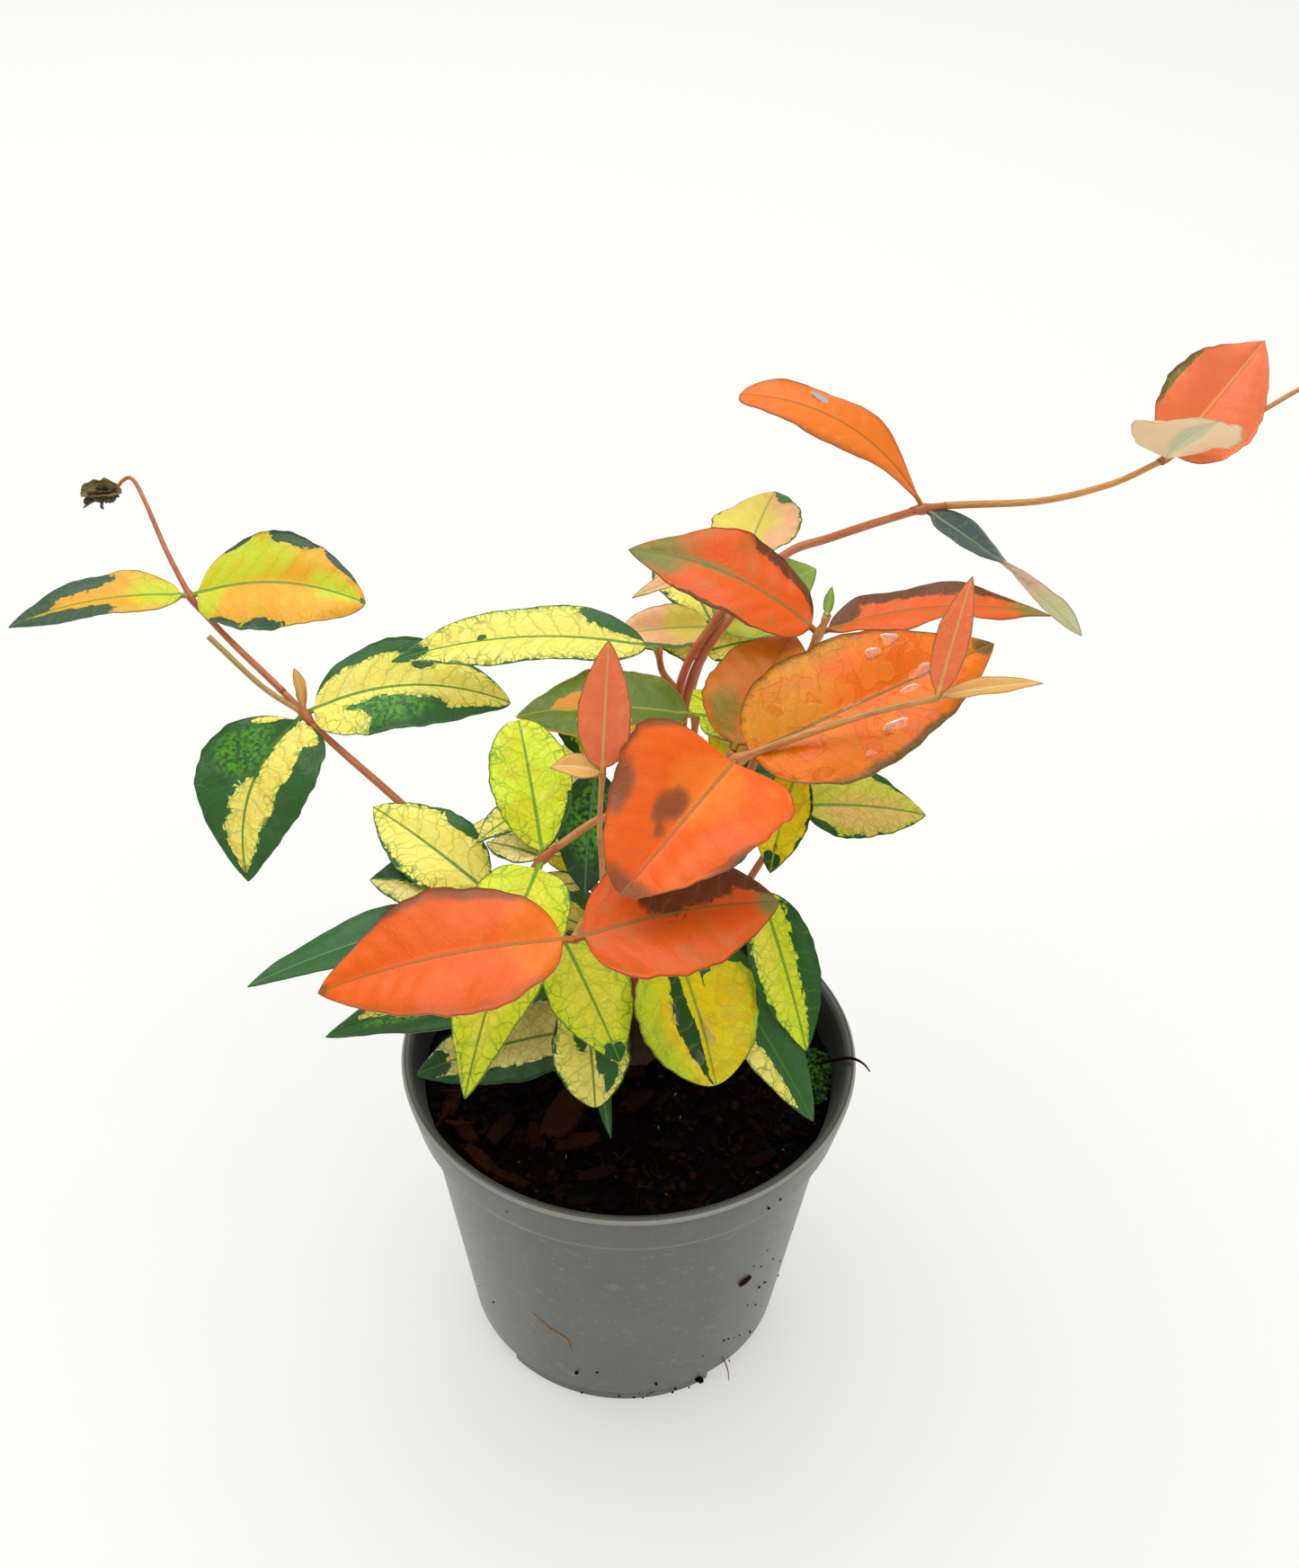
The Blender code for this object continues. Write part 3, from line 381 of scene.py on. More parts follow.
                 clear=[(0.68, 0.75, 0.22, 0.42), (0.4, 0.1, 0.05, 0.12)]),
            leaf(4, -60, -52, 37, 15, 12, 0.07, 10, look="lime", margin=0.12, dark=[(0.6, -0.85, 0.5, 0.5)],
                 tint=[(0.4, 0.6, 0.4, 0.4)]),
        ],
    ),
    "skirt_right_upper": dict(
        trunk_side=0, radius=(1.0, 0.7), stem=[(18, 4, 20), (28, 6, 42), (35, 7, 56), (34, 5, 68)],
        leaves=[
            leaf(3, 5, -7, 28, 18, 20, 0.05, 8, -0.01, 0.38, look="straw", margin=0.06,
                 dark=[(0.12, 0.9, 0.14, 0.24), (0.7, -0.97, 0.26, 0.2)], tint=[(0.55, 0.3, 0.4, 0.7)]),
            leaf(4, -112, -52, 23, 12, 0, 0.08, 8, look="yellow", margin=0.08, wet=0.8,
                 dark=[(0.96, 0, 0.16, 1)], drops=[(0.72, 0, 4, 1.2)]),
        ],
    ),
}

# The sides that the front view hides are filled by a rule: an arching stem with opposite pairs of leaves.
HIDDEN_SHOOTS = {
    "skirt_back_left": dict(heading=126, reach=22, rise=32, pairs=3),
    "skirt_back": dict(heading=102, reach=32, rise=20, pairs=4),
    "crown_back_right": dict(heading=50, reach=30, rise=60, pairs=4),
    "crown_back_left": dict(heading=150, reach=16, rise=56, pairs=4),
    "skirt_back_right": dict(heading=76, reach=20, rise=20, pairs=3),
}
HIDDEN_LOOKS = ("cream", "lime", "tan", "green", "cream", "yellow")

# Shoots by the finish that they have in the record. All others have green leaves.
ORANGE_SHOOTS = ("leaves_right_near", "leaves_right_far", "leaves_centre", "leaves_crown",
                 "leaves_crown_back", "leaves_front", "shoot_young_front")
YELLOW_SHOOTS = ("leaves_left_far", "leaves_back", "leaves_twin", "leaves_low_left", "skirt_front")

# The loose top of the mix: how many crumbs, small chips, fibres, moss threads and stray shoots it has.
CRUMBS = 1500
SMALL_CHIPS = 190
FIBRES = 90
MOSS_THREADS = 900
STRAY_SHOOTS = 22
CHIP_STEPS = 7
CHIP_ROWS = 6
# Each large chip as x, y, length, width, tone and turn. The chips in the middle and on the right have low
# tones, dark as painted shade under the foliage.
BARK_CHIPS = [(-14, -17, 15, 8, 1.0, 70), (-11, -25, 10, 4, 0.7, 20), (-36, -22, 9, 3.5, 0.7, -60),
              (-31, -31, 12, 3.5, 0.8, -40), (-25, -35, 9, 3, 0.6, -25), (-40, -14, 8, 3.5, 0.7, 80),
              (2, -13, 9, 4, 0.3, 50), (0, -4, 7, 4, 0.4, 0), (-20, -24, 8, 4, 0.5, 100),
              (30, -28, 7, 3, 0.2, 30), (-28, -22, 9, 4, 0.5, 60), (-6, -34, 8, 3, 0.3, 10)]
# Each curled strip as x, y, turn, length and curl.
CURLED_STRIPS = [(-43, -10, -1.2, 9, 1.4), (-42, -14, -0.6, 8, -1.2), (-41, -19, -1.8, 7, 1.8)]
MOSS_AT = (43.0, -2.0)
MOSS_HALF_SIZE = (5.0, 8.5)
MOSS_HEIGHT = 2.2

# Threads that cling to the pot: radius, tone and the angles and heights that they run through.
POT_THREADS = [
    (0.26, 1.7, [(-119.4, 32.5), (-113.6, 29), (-108.1, 26.6), (-106.7, 21.4)]),
    (0.16, 2.0, [(-85.1, 65.1), (-83, 64), (-81.5, 61.4)]),
    (0.7, 0.9, [(-52.1, 41.5), (-50, 42.2), (-47.5, 42.1)]),
    (0.2, 1.2, [(-80.6, 3.6), (-77.4, 4.6)]),
]
# Specks on the pot: angle, height, size and tone.
POT_SPECKS = [(-40.1, 31.9, 0.5, 0.5), (-36.9, 31.2, 0.45, 0.5), (-44.5, 27.6, 0.3, 0.3),
              (-38.8, 23.2, 0.35, 0.2), (-50.3, 16.6, 0.3, 0.4), (-36.5, 9.4, 0.35, 0.4),
              (-59.9, 3.4, 1.1, 0.1), (-98.2, 14, 0.35, 0.4), (-105.4, 12, 0.6, 0.2),
              (-119.1, 77.6, 0.5, 0.1), (-121.8, 78.6, 0.35, 2.0), (-48.3, 76, 0.4, 0.2),
              (-52, 75.4, 0.4, 0.3), (-77.4, 8.2, 0.5, 0.1)]
# Clusters of specks: middle angle, spread in degrees, lowest and highest height and how many.
SPECK_CLUSTERS = [(-34, 11, 10, 64, 26), (-74, 14, 1.6, 5, 12), (-150, 10, 20, 66, 7)]
LOOSE_SPECKS = 90
RIM_TWIG = [Vector((43, -1, 80)), Vector((50.1, -3.6, 84.9)), Vector((53.4, -5.4, 85.4)),
            Vector((55.2, -7.0, 84.2))]

# Flaps of dead leaf at the shrivelled tip: start from its middle, the ways it runs and opens, length, curl.
WITHERED_FLAPS = [
    ((3.6, 0.5, 0.5), (-1, -0.1, -0.1), (0.1, -0.6, 1), 9.5, 2.6),
    ((1.0, -0.5, -0.2), (-0.85, -0.2, -0.4), (-0.6, -0.5, 0.6), 6.5, 2.9),
    ((1.5, -0.6, 0.2), (-0.9, -0.3, 0.2), (0.3, -1, 0.2), 5.5, 3.0),
    ((1.0, 0.2, -0.8), (-0.5, -0.3, -1), (-1, -0.3, 0.1), 3.6, 2.6),
]
WITHERED_AT = (-125.5, 89, 84)

# The camera that took the photograph. The focal length is in the photograph's own pixels.
CAMERA_AT = (3.08, -297.9, 381.1)
CAMERA_PITCH = 36.68
CAMERA_ROLL = 1.53
FOCAL_LENGTH = 2000
PHOTO_HEIGHT = 1744
SENSOR = 36


def linear(code):
    """The linear colour of an sRGB hex code."""
    parts = [int(code[place:place + 2], 16) / 255 for place in (1, 3, 5)]
    return tuple(part / 12.92 if part <= 0.04045 else ((part + 0.055) / 1.055) ** 2.4 for part in parts)


# The studio: how far its floor reaches, how bright its surround is, and each light's place and size in
# metres and power in watts.
FLOOR_HALF_SIZE = 6
SURROUND_STRENGTH = 0.5
LIGHTS = (
    ("soft_overhead", (-0.3, 0.5, 2.2), 2.4, 42.0),
    ("soft_front", (0.7, -0.9, 0.9), 0.7, 2.0),
)
LIGHTS_AIM = (0, 0, 0.1)

# What the values of each kind of node go to in order, the output that it gives and the settings it has here.
KINDS = {
    "Mix": ((0, 6, 7), 2, {"data_type": "RGBA"}),
    "MapRange": (range(5), 0, {}),
    "Math": (range(3), 0, {}),
    "VectorMath": (range(2), 0, {}),
    "TexNoise": (("Vector", "Scale", "Detail", "Distortion"), "Fac", {}),
    "TexVoronoi": (("Vector", "Scale"), "Distance", {}),
    "TexCoord": ((), "Object", {}),
    "Mapping": (("Vector", "Scale"), 0, {}),
    "Bump": (("Height", "Strength", "Distance"), 0, {}),
}


def add(tree, kind, *values, output=None, **settings):
    """Adds a node and gives one of its outputs. Each value is a link, a number or a hex code. A dict names
    the sockets of its values, and a kind in capitals is an operation of the node for sums.
    """
    if kind.isupper():
        kind, settings["operation"] = "Math", kind
    sockets, given, always = KINDS.get(kind, (range(2), 0, {}))
    node = tree.nodes.new(f"ShaderNode{kind}")
    for name, value in {**always, **settings}.items():
        setattr(node, name, value)
    inputs = values[0] if values and isinstance(values[0], dict) else dict(zip(sockets, values))
    for socket, value in inputs.items():
        if isinstance(value, bpy.types.NodeSocket):
            tree.links.new(value, node.inputs[socket])
        else:
            node.inputs[socket].default_value = (*linear(value), 1) if isinstance(value, str) else value
    return node.outputs[given if output is None else output]


def new_material(name):
    """A new material and its empty node tree."""
    made = bpy.data.materials.new(name)
    made.use_nodes = True
    made.node_tree.nodes.clear()
    return made, made.node_tree


def closed_off(made, inputs):
    """Ends a material in its shader and output."""
    shader = add(made.node_tree, "BsdfPrincipled", inputs)
    out = made.node_tree.nodes.new("ShaderNodeOutputMaterial")
    made.node_tree.links.new(shader, out.inputs["Surface"])
    return made


def leaf_material():
    """Living leaf: a waxy skin with a soft gloss, net veins and the jagged patches of a variegated blade."""
    made, tree = new_material("living_leaf")
    place = add(tree, "Attribute", output="Vector", attribute_name="leaf_place")
    dress, form, more = (add(tree, "Attribute", output="Vector", attribute_name=name)
                         for name in ("leaf_dress", "leaf_form", "leaf_more"))
    spot, (cover, blend, net), (rib, margin, under), (bright, wet, soft) = (
        add(tree, "SeparateXYZ", vector).node.outputs for vector in (place, dress, form, more))
    colours = {name: add(tree, "Attribute", output="Color", attribute_name=f"leaf_{name}")
               for name in BLADE_COLOURS}

    # The fine net of veins has meshes of about 1.6 mm, and the jags of the patches follow it. The wide net
    # has meshes of about 3.3 mm and shows most by the margin.
    warp = add(tree, "TexNoise", place, 0.45, 2.0, output="Color")
    bent = add(tree, "VectorMath", warp, (2.6, 2.6, 0.0), operation="MULTIPLY")
    bent = add(tree, "VectorMath", place, bent, operation="ADD")
    edge = add(tree, "TexVoronoi", bent, 0.62, feature="DISTANCE_TO_EDGE")
    cell = add(tree, "TexVoronoi", bent, 0.62, output="Color")
    mesh_line = add(tree, "MapRange", edge, 0.03, 0.11, 1.0, 0.0, interpolation_type="SMOOTHSTEP")
    wide_edge = add(tree, "TexVoronoi", bent, 0.3, feature="DISTANCE_TO_EDGE")
    wide_line = add(tree, "MapRange", wide_edge, 0.015, 0.06, 1.0, 0.0, interpolation_type="SMOOTHSTEP")
    rough = add(tree, "TexNoise", place, 1.1, 3.0)
    broad = add(tree, "TexNoise", place, 0.22, 3.0)
    jag = add(tree, "ADD", add(tree, "SeparateColor", cell), rough)
    jag = add(tree, "MULTIPLY_ADD", jag, 0.5, -0.5)
    firm = add(tree, "MULTIPLY_ADD", soft, -1.1, 0.95)
    value = add(tree, "MULTIPLY_ADD", jag, firm, cover)
    outer = add(tree, "MULTIPLY", soft, -1.0)
    patched = add(tree, "MapRange", value, outer, soft, interpolation_type="SMOOTHSTEP")
    near_patch = add(tree, "MapRange", value, -0.8, -0.1)
    spread = add(tree, "Attribute", output="Alpha", attribute_name="leaf_vein")
    near_patch = add(tree, "MAXIMUM", near_patch, spread)

    # Side veins leave the midrib at even spaces and run forward.
    wide = add(tree, "ABSOLUTE", spot[1])
    other_side = add(tree, "GREATER_THAN", spot[1], 0.0)
    run = add(tree, "MULTIPLY_ADD", wide, -LATERAL_SLANT, spot[0])
    run = add(tree, "MULTIPLY_ADD", rough, 1.2, run)
    run = add(tree, "MULTIPLY_ADD", broad, 6.0, run)
    run = add(tree, "MULTIPLY", run, 1 / LATERAL_SPACING)
    run = add(tree, "MULTIPLY_ADD", other_side, 0.37, run)
    run = add(tree, "FRACT", run)
    run = add(tree, "SUBTRACT", run, 0.5)
    run = add(tree, "ABSOLUTE", run)
    side_line = add(tree, "MapRange", run, 0.02, 0.07, 1.0, 0.0, interpolation_type="SMOOTHSTEP")
    rib_edge = add(tree, "ADD", rib, 0.22)
    midrib = add(tree, "MapRange", wide, rib, rib_edge, 1.0, 0.0, interpolation_type="SMOOTHSTEP")

    blended = add(tree, "MULTIPLY_ADD", broad, 1.5, -0.75)
    blended = add(tree, "ADD", blended, blend, use_clamp=True)
    pale = add(tree, "Mix", blended, colours["ground"], colours["second"])
    netted = add(tree, "MULTIPLY", mesh_line, near_patch)
    edging = add(tree, "MapRange", margin, 1.0, 5.5, 0.95, 0.1)
    inner = add(tree, "MULTIPLY", spread, 1.7)
    edging = add(tree, "MAXIMUM", edging, inner)
    coarse = add(tree, "MULTIPLY", wide_line, edging)
    netted = add(tree, "MAXIMUM", netted, coarse)
    netted = add(tree, "MULTIPLY", netted, net)
    sided = add(tree, "MULTIPLY", side_line, net)
    sided = add(tree, "MULTIPLY", sided, 0.36)
    netted = add(tree, "MAXIMUM", netted, sided)
    netted = add(tree, "MULTIPLY", netted, 0.8)
    pale = add(tree, "Mix", netted, pale, colours["vein"])
    fleck = add(tree, "MapRange", rough, 0.42, 0.6)
    fleck = add(tree, "MULTIPLY", fleck, bright)
    fresh = add(tree, "Mix", fleck, colours["patch"], "#5AA32C")
    lit = add(tree, "MULTIPLY", side_line, 0.22)
    fresh = add(tree, "Mix", lit, fresh, colours["vein"])
    face = add(tree, "Mix", patched, pale, fresh)
    ribbed = add(tree, "MULTIPLY", midrib, 0.85)
    face = add(tree, "Mix", ribbed, face, colours["vein"])
    hem = add(tree, "MapRange", margin, 0.15, 0.4, 0.7, 0.0, interpolation_type="SMOOTHSTEP")
    face = add(tree, "Mix", hem, face, colours["patch"])
    # Undersides go halfway to pale cream: partly the real leaf's paler underside, partly painted light that
    # brightens the shaded undersides.
    below = add(tree, "MULTIPLY", under, 0.5)
    face = add(tree, "Mix", below, face, "#F8EAC8")

    pool = add(tree, "TexNoise", place, 0.2, 1.0, 0.6)
    film = add(tree, "MapRange", pool, 0.53, 0.56, interpolation_type="SMOOTHSTEP")
    film = add(tree, "MULTIPLY", film, wet)
    deeper = add(tree, "Mix", 1.0, face, "#F8D8B4", blend_type="MULTIPLY")
    face = add(tree, "Mix", film, face, deeper)

    gloss = add(tree, "MULTIPLY_ADD", rough, 0.16, 0.27)
    gloss = add(tree, "MULTIPLY_ADD", film, -0.26, gloss)
    gloss = add(tree, "MULTIPLY_ADD", under, 0.25, gloss, use_clamp=True)
    sunk = add(tree, "MULTIPLY", wide_line, 0.35)
    sunk = add(tree, "MAXIMUM", side_line, sunk)
    sunk = add(tree, "MULTIPLY_ADD", mesh_line, 0.12, sunk)
    sunk = add(tree, "MULTIPLY", sunk, net)
    sunk = add(tree, "MULTIPLY_ADD", midrib, 1.6, sunk)
    height = add(tree, "MULTIPLY", rough, 0.8)
    height = add(tree, "SUBTRACT", height, sunk)
    height = add(tree, "MULTIPLY_ADD", film, 2.0, height)
    bumped = add(tree, "Bump", height, 0.6, 0.16 * MM)
    return closed_off(made, {"Base Color": face, "Roughness": gloss, "Normal": bumped, "IOR": 1.45,
                             "Specular IOR Level": 0.32})


def stem_material():
    """Young stem bark: thin, satin and rust red in the sun, turning tan and then olive, with a fine grain."""
    made, tree = new_material("young_stem_bark")
    place = add(tree, "Attribute", output="Vector", attribute_name="stem_place")
    tone = add(tree, "Attribute", output="Fac", attribute_name="stem_tone")
    long_way = add(tree, "VectorMath", place, (0.35, 3.0, 1.0), operation="MULTIPLY")
    grain = add(tree, "TexNoise", long_way, 1.0, 4.0)
    blotch = add(tree, "TexNoise", place, 0.16, 2.0)
    turned_tan = add(tree, "MULTIPLY_ADD", blotch, 0.8, -0.4)
    turned_tan = add(tree, "ADD", turned_tan, tone, use_clamp=True)
    skin = add(tree, "Mix", turned_tan, "#B8562E", "#D49A50")
    turned_olive = add(tree, "MapRange", tone, 1.0, 2.0)
    skin = add(tree, "Mix", turned_olive, skin, "#7E8236")
    streak = add(tree, "MapRange", grain, 0.4, 0.72, 0.0, 0.45)
    skin = add(tree, "Mix", streak, skin, "#6E2A14")
    bumped = add(tree, "Bump", grain, 0.4, 0.12 * MM)
    return closed_off(made, {"Base Color": skin, "Roughness": 0.45, "Normal": bumped})


def bark_material():
    """Old stem bark at the trunk: matt and cracked lengthwise, its brown darkened towards black as painted
    shade under the foliage.
    """
    made, tree = new_material("old_stem_bark")
    place = add(tree, "TexCoord")
    long_way = add(tree, "Mapping", place, (900, 900, 250))
    crack = add(tree, "TexNoise", long_way, 1.0, 5.0)
    # Painted shade: both browns are darker than the bark's own, for the shade under the leaves.
    skin = add(tree, "Mix", crack, "#160D08", "#5C4028")
    bumped = add(tree, "Bump", crack, 0.8, 0.4 * MM)
    return closed_off(made, {"Base Color": skin, "Roughness": 0.85, "Normal": bumped})


def withered_material():
    """Dead leaf: dry, dark brown and crumpled, with a slight sheen where it was once wet."""
    made, tree = new_material("withered_leaf")
    place = add(tree, "TexCoord")
    fold = add(tree, "TexNoise", place, 700.0, 4.0)
    tone = add(tree, "Attribute", output="Fac", attribute_name="bit_tone")
    skin = add(tree, "Mix", fold, "#140C08", "#5A452A")
    pale = add(tree, "Mix", fold, "#4A3A1C", "#A8944E")
    skin = add(tree, "Mix", tone, skin, pale)
    bumped = add(tree, "Bump", fold, 0.7, 0.3 * MM)
    return closed_off(made, {"Base Color": skin, "Roughness": 0.55, "Normal": bumped})


def plastic_material():
    """Recycled polypropylene, injection moulded: satin mid grey with a fine grain, scuffs, dried splashes and
    a thin sheen of dust. A painted highlight runs along the lip's outer edge, and painted shade darkens its
    bevel, the inner wall and the collar.
    """
    made, tree = new_material("moulded_polypropylene")
    place = add(tree, "TexCoord")
    grain = add(tree, "TexNoise", place, 2600.0, 2.0)
    cloud = add(tree, "TexNoise", place, 45.0, 4.0)
    flat = add(tree, "Mapping", place, (260, 260, 420))
    scuff = add(tree, "TexNoise", flat, 1.0, 5.0)
    worn = add(tree, "MapRange", scuff, 0.58, 0.75, 0.0, 0.35)
    skin = add(tree, "Mix", cloud, "#3C3D3A", "#585954")
    skin = add(tree, "Mix", worn, skin, "#858682")
    mote = add(tree, "TexVoronoi", place, 420.0)
    mote = add(tree, "MapRange", mote, 0.08, 0.16, 0.32, 0.0)
    skin = add(tree, "Mix", mote, skin, "#9AA09E")
    speck = add(tree, "TexVoronoi", place, 260.0)
    dirt = add(tree, "MapRange", speck, 0.05, 0.12, 1.0, 0.0)
    patchy = add(tree, "MapRange", cloud, 0.55, 0.7)
    dirt = add(tree, "MULTIPLY", dirt, patchy)
    skin = add(tree, "Mix", dirt, skin, "#2C2620")
    spot = add(tree, "SeparateXYZ", place).node.outputs
    across = add(tree, "VectorMath", place, (1, 1, 0), operation="MULTIPLY")
    across = add(tree, "VectorMath", across, output="Value", operation="LENGTH")
    slope = (RIM_RADIUS - COLLAR_FOOT_RADIUS) / COLLAR_HEIGHT
    inward = add(tree, "MULTIPLY_ADD", spot[2], -slope, across)
    lip = RIM_RADIUS - slope * POT_HEIGHT
    # Painted shade: the inner wall above the collar's foot is darkened nearly black, as if unlit.
    within = add(tree, "MapRange", inward, (lip - 2.9) * MM, (lip - 2.5) * MM, 0.9, 0.0)
    collar = add(tree, "GREATER_THAN", spot[2], (POT_HEIGHT - COLLAR_HEIGHT + 1.5) * MM)
    within = add(tree, "MULTIPLY", within, collar)
    # Painted shade: the whole collar band is darkened all round.
    shaded = add(tree, "MULTIPLY", collar, 0.55)
    skin = add(tree, "Mix", shaded, skin, "#30312E")
    # Painted shade: the lip's inward bevel is darkened to a dark grey-green.
    bevel = add(tree, "MapRange", inward, (lip - 0.75) * MM, (lip - 0.6) * MM, 0.8, 0.0)
    bevel = add(tree, "MULTIPLY", bevel, collar)
    skin = add(tree, "Mix", bevel, skin, "#363A31")
    skin = add(tree, "Mix", within, skin, "#1C1F1A")
    # Painted highlight: a pale line along the outer edge of the lip's top.
    high = add(tree, "MapRange", spot[2], (POT_HEIGHT - 1.1) * MM, (POT_HEIGHT - 0.7) * MM, 0.0, 0.75)
    beyond = add(tree, "MapRange", inward, (lip - 0.7) * MM, (lip - 0.55) * MM)
    high = add(tree, "MULTIPLY", high, beyond)
    skin = add(tree, "Mix", high, skin, "#A4A698")
    gloss = add(tree, "MapRange", cloud, 0.0, 1.0, 0.3, 0.44)
    height = add(tree, "MULTIPLY_ADD", scuff, 0.3, grain)
    bumped = add(tree, "Bump", height, 0.25, 0.1 * MM)
    return closed_off(made, {"Base Color": skin, "Roughness": gloss, "Normal": bumped, "IOR": 1.49,
                             "Specular IOR Level": 0.8, "Sheen Weight": 0.14, "Sheen Roughness": 0.35})


def mix_material():
    """Damp bark and peat mix: dark peat painted nearly black as the shade under the foliage, with brown
    crumbs of bark and fibre.
    """
    made, tree = new_material("damp_bark_and_peat")
    place = add(tree, "TexCoord")
    lump = add(tree, "TexNoise", place, 420.0, 5.0)
    tone = add(tree, "Attribute", output="Fac", attribute_name="bit_tone")
    # Painted shade: the peat's colours are near black, darker than damp peat, for the shade under the plant.
    dark = add(tree, "Mix", lump, "#020101", "#0A0604")
    brown = add(tree, "Mix", lump, "#0C0503", "#4A2511")
    skin = add(tree, "Mix", tone, dark, brown)
    dried = add(tree, "MapRange", tone, 1.0, 2.0)
    skin = add(tree, "Mix", dried, skin, "#B8936A")
    gloss = add(tree, "MapRange", lump, 0.35, 0.65, 0.35, 0.85)
    bumped = add(tree, "Bump", lump, 0.9, 0.5 * MM)
    return closed_off(made,
                      {"Base Color": skin, "Roughness": gloss, "Normal": bumped, "Specular IOR Level": 0.03})


def moss_material():
    """Cushion moss: soft, matt and deep green with lighter tips."""
    made, tree = new_material("cushion_moss")
    place = add(tree, "TexCoord")
    tuft = add(tree, "TexNoise", place, 900.0, 3.0)
    tuft = add(tree, "MapRange", tuft, 0.4, 0.68)
    skin = add(tree, "Mix", tuft, "#041202", "#4E9A16")
    bumped = add(tree, "Bump", tuft, 0.6, 0.3 * MM)
    return closed_off(made, {"Base Color": skin, "Roughness": 0.8, "Normal": bumped})


def water_material():
    """Clean water in drops and films: clear, with sharp highlights."""
    made, _ = new_material("water")
    return closed_off(made, {"Base Color": "#FFFFFF", "Roughness": 0.02, "IOR": 1.333,
                             "Transmission Weight": 1.0})


def floor_material():
    """A seamless sheet of matt white card."""
    made, tree = new_material("matt_white_card")
    place = add(tree, "TexCoord")
    tooth = add(tree, "TexNoise", place, 900.0, 2.0)
    bumped = add(tree, "Bump", tooth, 0.03, 0.1 * MM)
    return closed_off(made, {"Base Color": "#B4B4B0", "Roughness": 0.9, "Normal": bumped,
                             "Emission Color": (1, 1, 0.985, 1), "Emission Strength": 0.47})


class Growth:
    """Gathers the blades and stems of one piece, with what their finishes read at each point."""

    VECTORS = ("leaf_place", "leaf_dress", "leaf_form", "leaf_more", "stem_place")
    COLOURS = ("leaf_ground", "leaf_second", "leaf_patch", "leaf_vein")

    def __init__(self):
        self.points, self.quads, self.corners, self.finishes = [], [], [], []
        self.read = {name: [] for name in self.VECTORS + self.COLOURS + ("stem_tone",)}
        self.count = 0
        self.cells = 0

    def take(self, points, quads, corners, finish, cells, read):
        """Adds points, quads, each quad's corners in a cell of the bake sheet, and what the finish reads."""
        self.points.append(points)
        self.quads.append(quads + self.count)
        self.corners.append((corners, self.cells))
        self.finishes.append(np.full(len(quads), finish))
        for name, kept in self.read.items():
            wide = 1 if name == "stem_tone" else 4 if name in self.COLOURS else 3
            kept.append(np.broadcast_to(read.get(name, np.zeros(wide)), (len(points), wide)))
        self.count += len(points)
        self.cells += cells

    def piece(self, name, materials):
        """The finished piece as a scene object."""
        columns = math.ceil(math.sqrt(self.cells))
        rows = math.ceil(self.cells / columns)
        sheets = []
        for corners, first in self.corners:
            cell = first + corners[..., 2]
            sheets.append(np.stack([(cell % columns + 0.02 + 0.96 * corners[..., 0]) / columns,
                                    (cell // columns + 0.02 + 0.96 * corners[..., 1]) / rows], -1))
        points = np.concatenate(self.points) * MM
        quads = np.concatenate(self.quads).astype(np.int32)
        mesh = bpy.data.meshes.new(name)
        mesh.vertices.add(len(points))
        mesh.vertices.foreach_set("co", points.astype(np.float32).ravel())
        mesh.loops.add(quads.size)
        mesh.loops.foreach_set("vertex_index", quads.ravel())
        mesh.polygons.add(len(quads))
        mesh.polygons.foreach_set("loop_start", np.arange(0, quads.size, 4, dtype=np.int32))
        mesh.polygons.foreach_set("material_index", np.concatenate(self.finishes).astype(np.int32))
        mesh.update(calc_edges=True)
        mesh.validate()
        for made in materials:
            mesh.materials.append(made)
        sheet = mesh.uv_layers.new(name="OFBake")
        sheet.data.foreach_set("uv", np.concatenate(sheets).astype(np.float32).ravel())
        for kind, field, names in (("FLOAT_VECTOR", "vector", self.VECTORS),
                                   ("FLOAT_COLOR", "color", self.COLOURS),
                                   ("FLOAT", "value", ("stem_tone",))):
            for each in names:
                data = np.concatenate(self.read[each]).astype(np.float32)
                mesh.attributes.new(each, kind, "POINT").data.foreach_set(field, data.ravel())
        mesh.shade_smooth()
        return placed(name, mesh)


def placed(name, data):
    """An object with this data, linked into the scene."""
    obj = bpy.data.objects.new(name, data)
    bpy.context.scene.collection.objects.link(obj)
    return obj


def smooth_route(points, step):
    """Points every step along a smooth curve through the given ones, ends kept."""
    knots = [Vector(p) for p in points]
    if len(knots) == 2:
        knots.insert(1, (knots[0] + knots[1]) / 2)
    padded = [2 * knots[0] - knots[1]] + knots + [2 * knots[-1] - knots[-2]]
    route = [knots[0]]
    for before, start, end, after in zip(padded, padded[1:], padded[2:], padded[3:]):
        count = max(1, round((end - start).length / step))
        for number in range(1, count + 1):
            t = number / count
            route.append(0.5 * (2 * start + (end - before) * t
                                + (2 * before - 5 * start + 4 * end - after) * t * t
                                + (3 * start - before - 3 * end + after) * t ** 3))
    return route


def frames_along(route):
    """(number, point, two directions across, share of the way) at each point of a route, without a twist."""
    across = None
    for number, point in enumerate(route):
        ahead = (route[min(number + 1, len(route) - 1)] - route[max(number - 1, 0)]).normalized()
        if across is None:
            across = ahead.orthogonal().normalized()
        across = (across - ahead * across.dot(ahead)).normalized()
        yield number, point, across, ahead.cross(across), number / (len(route) - 1)


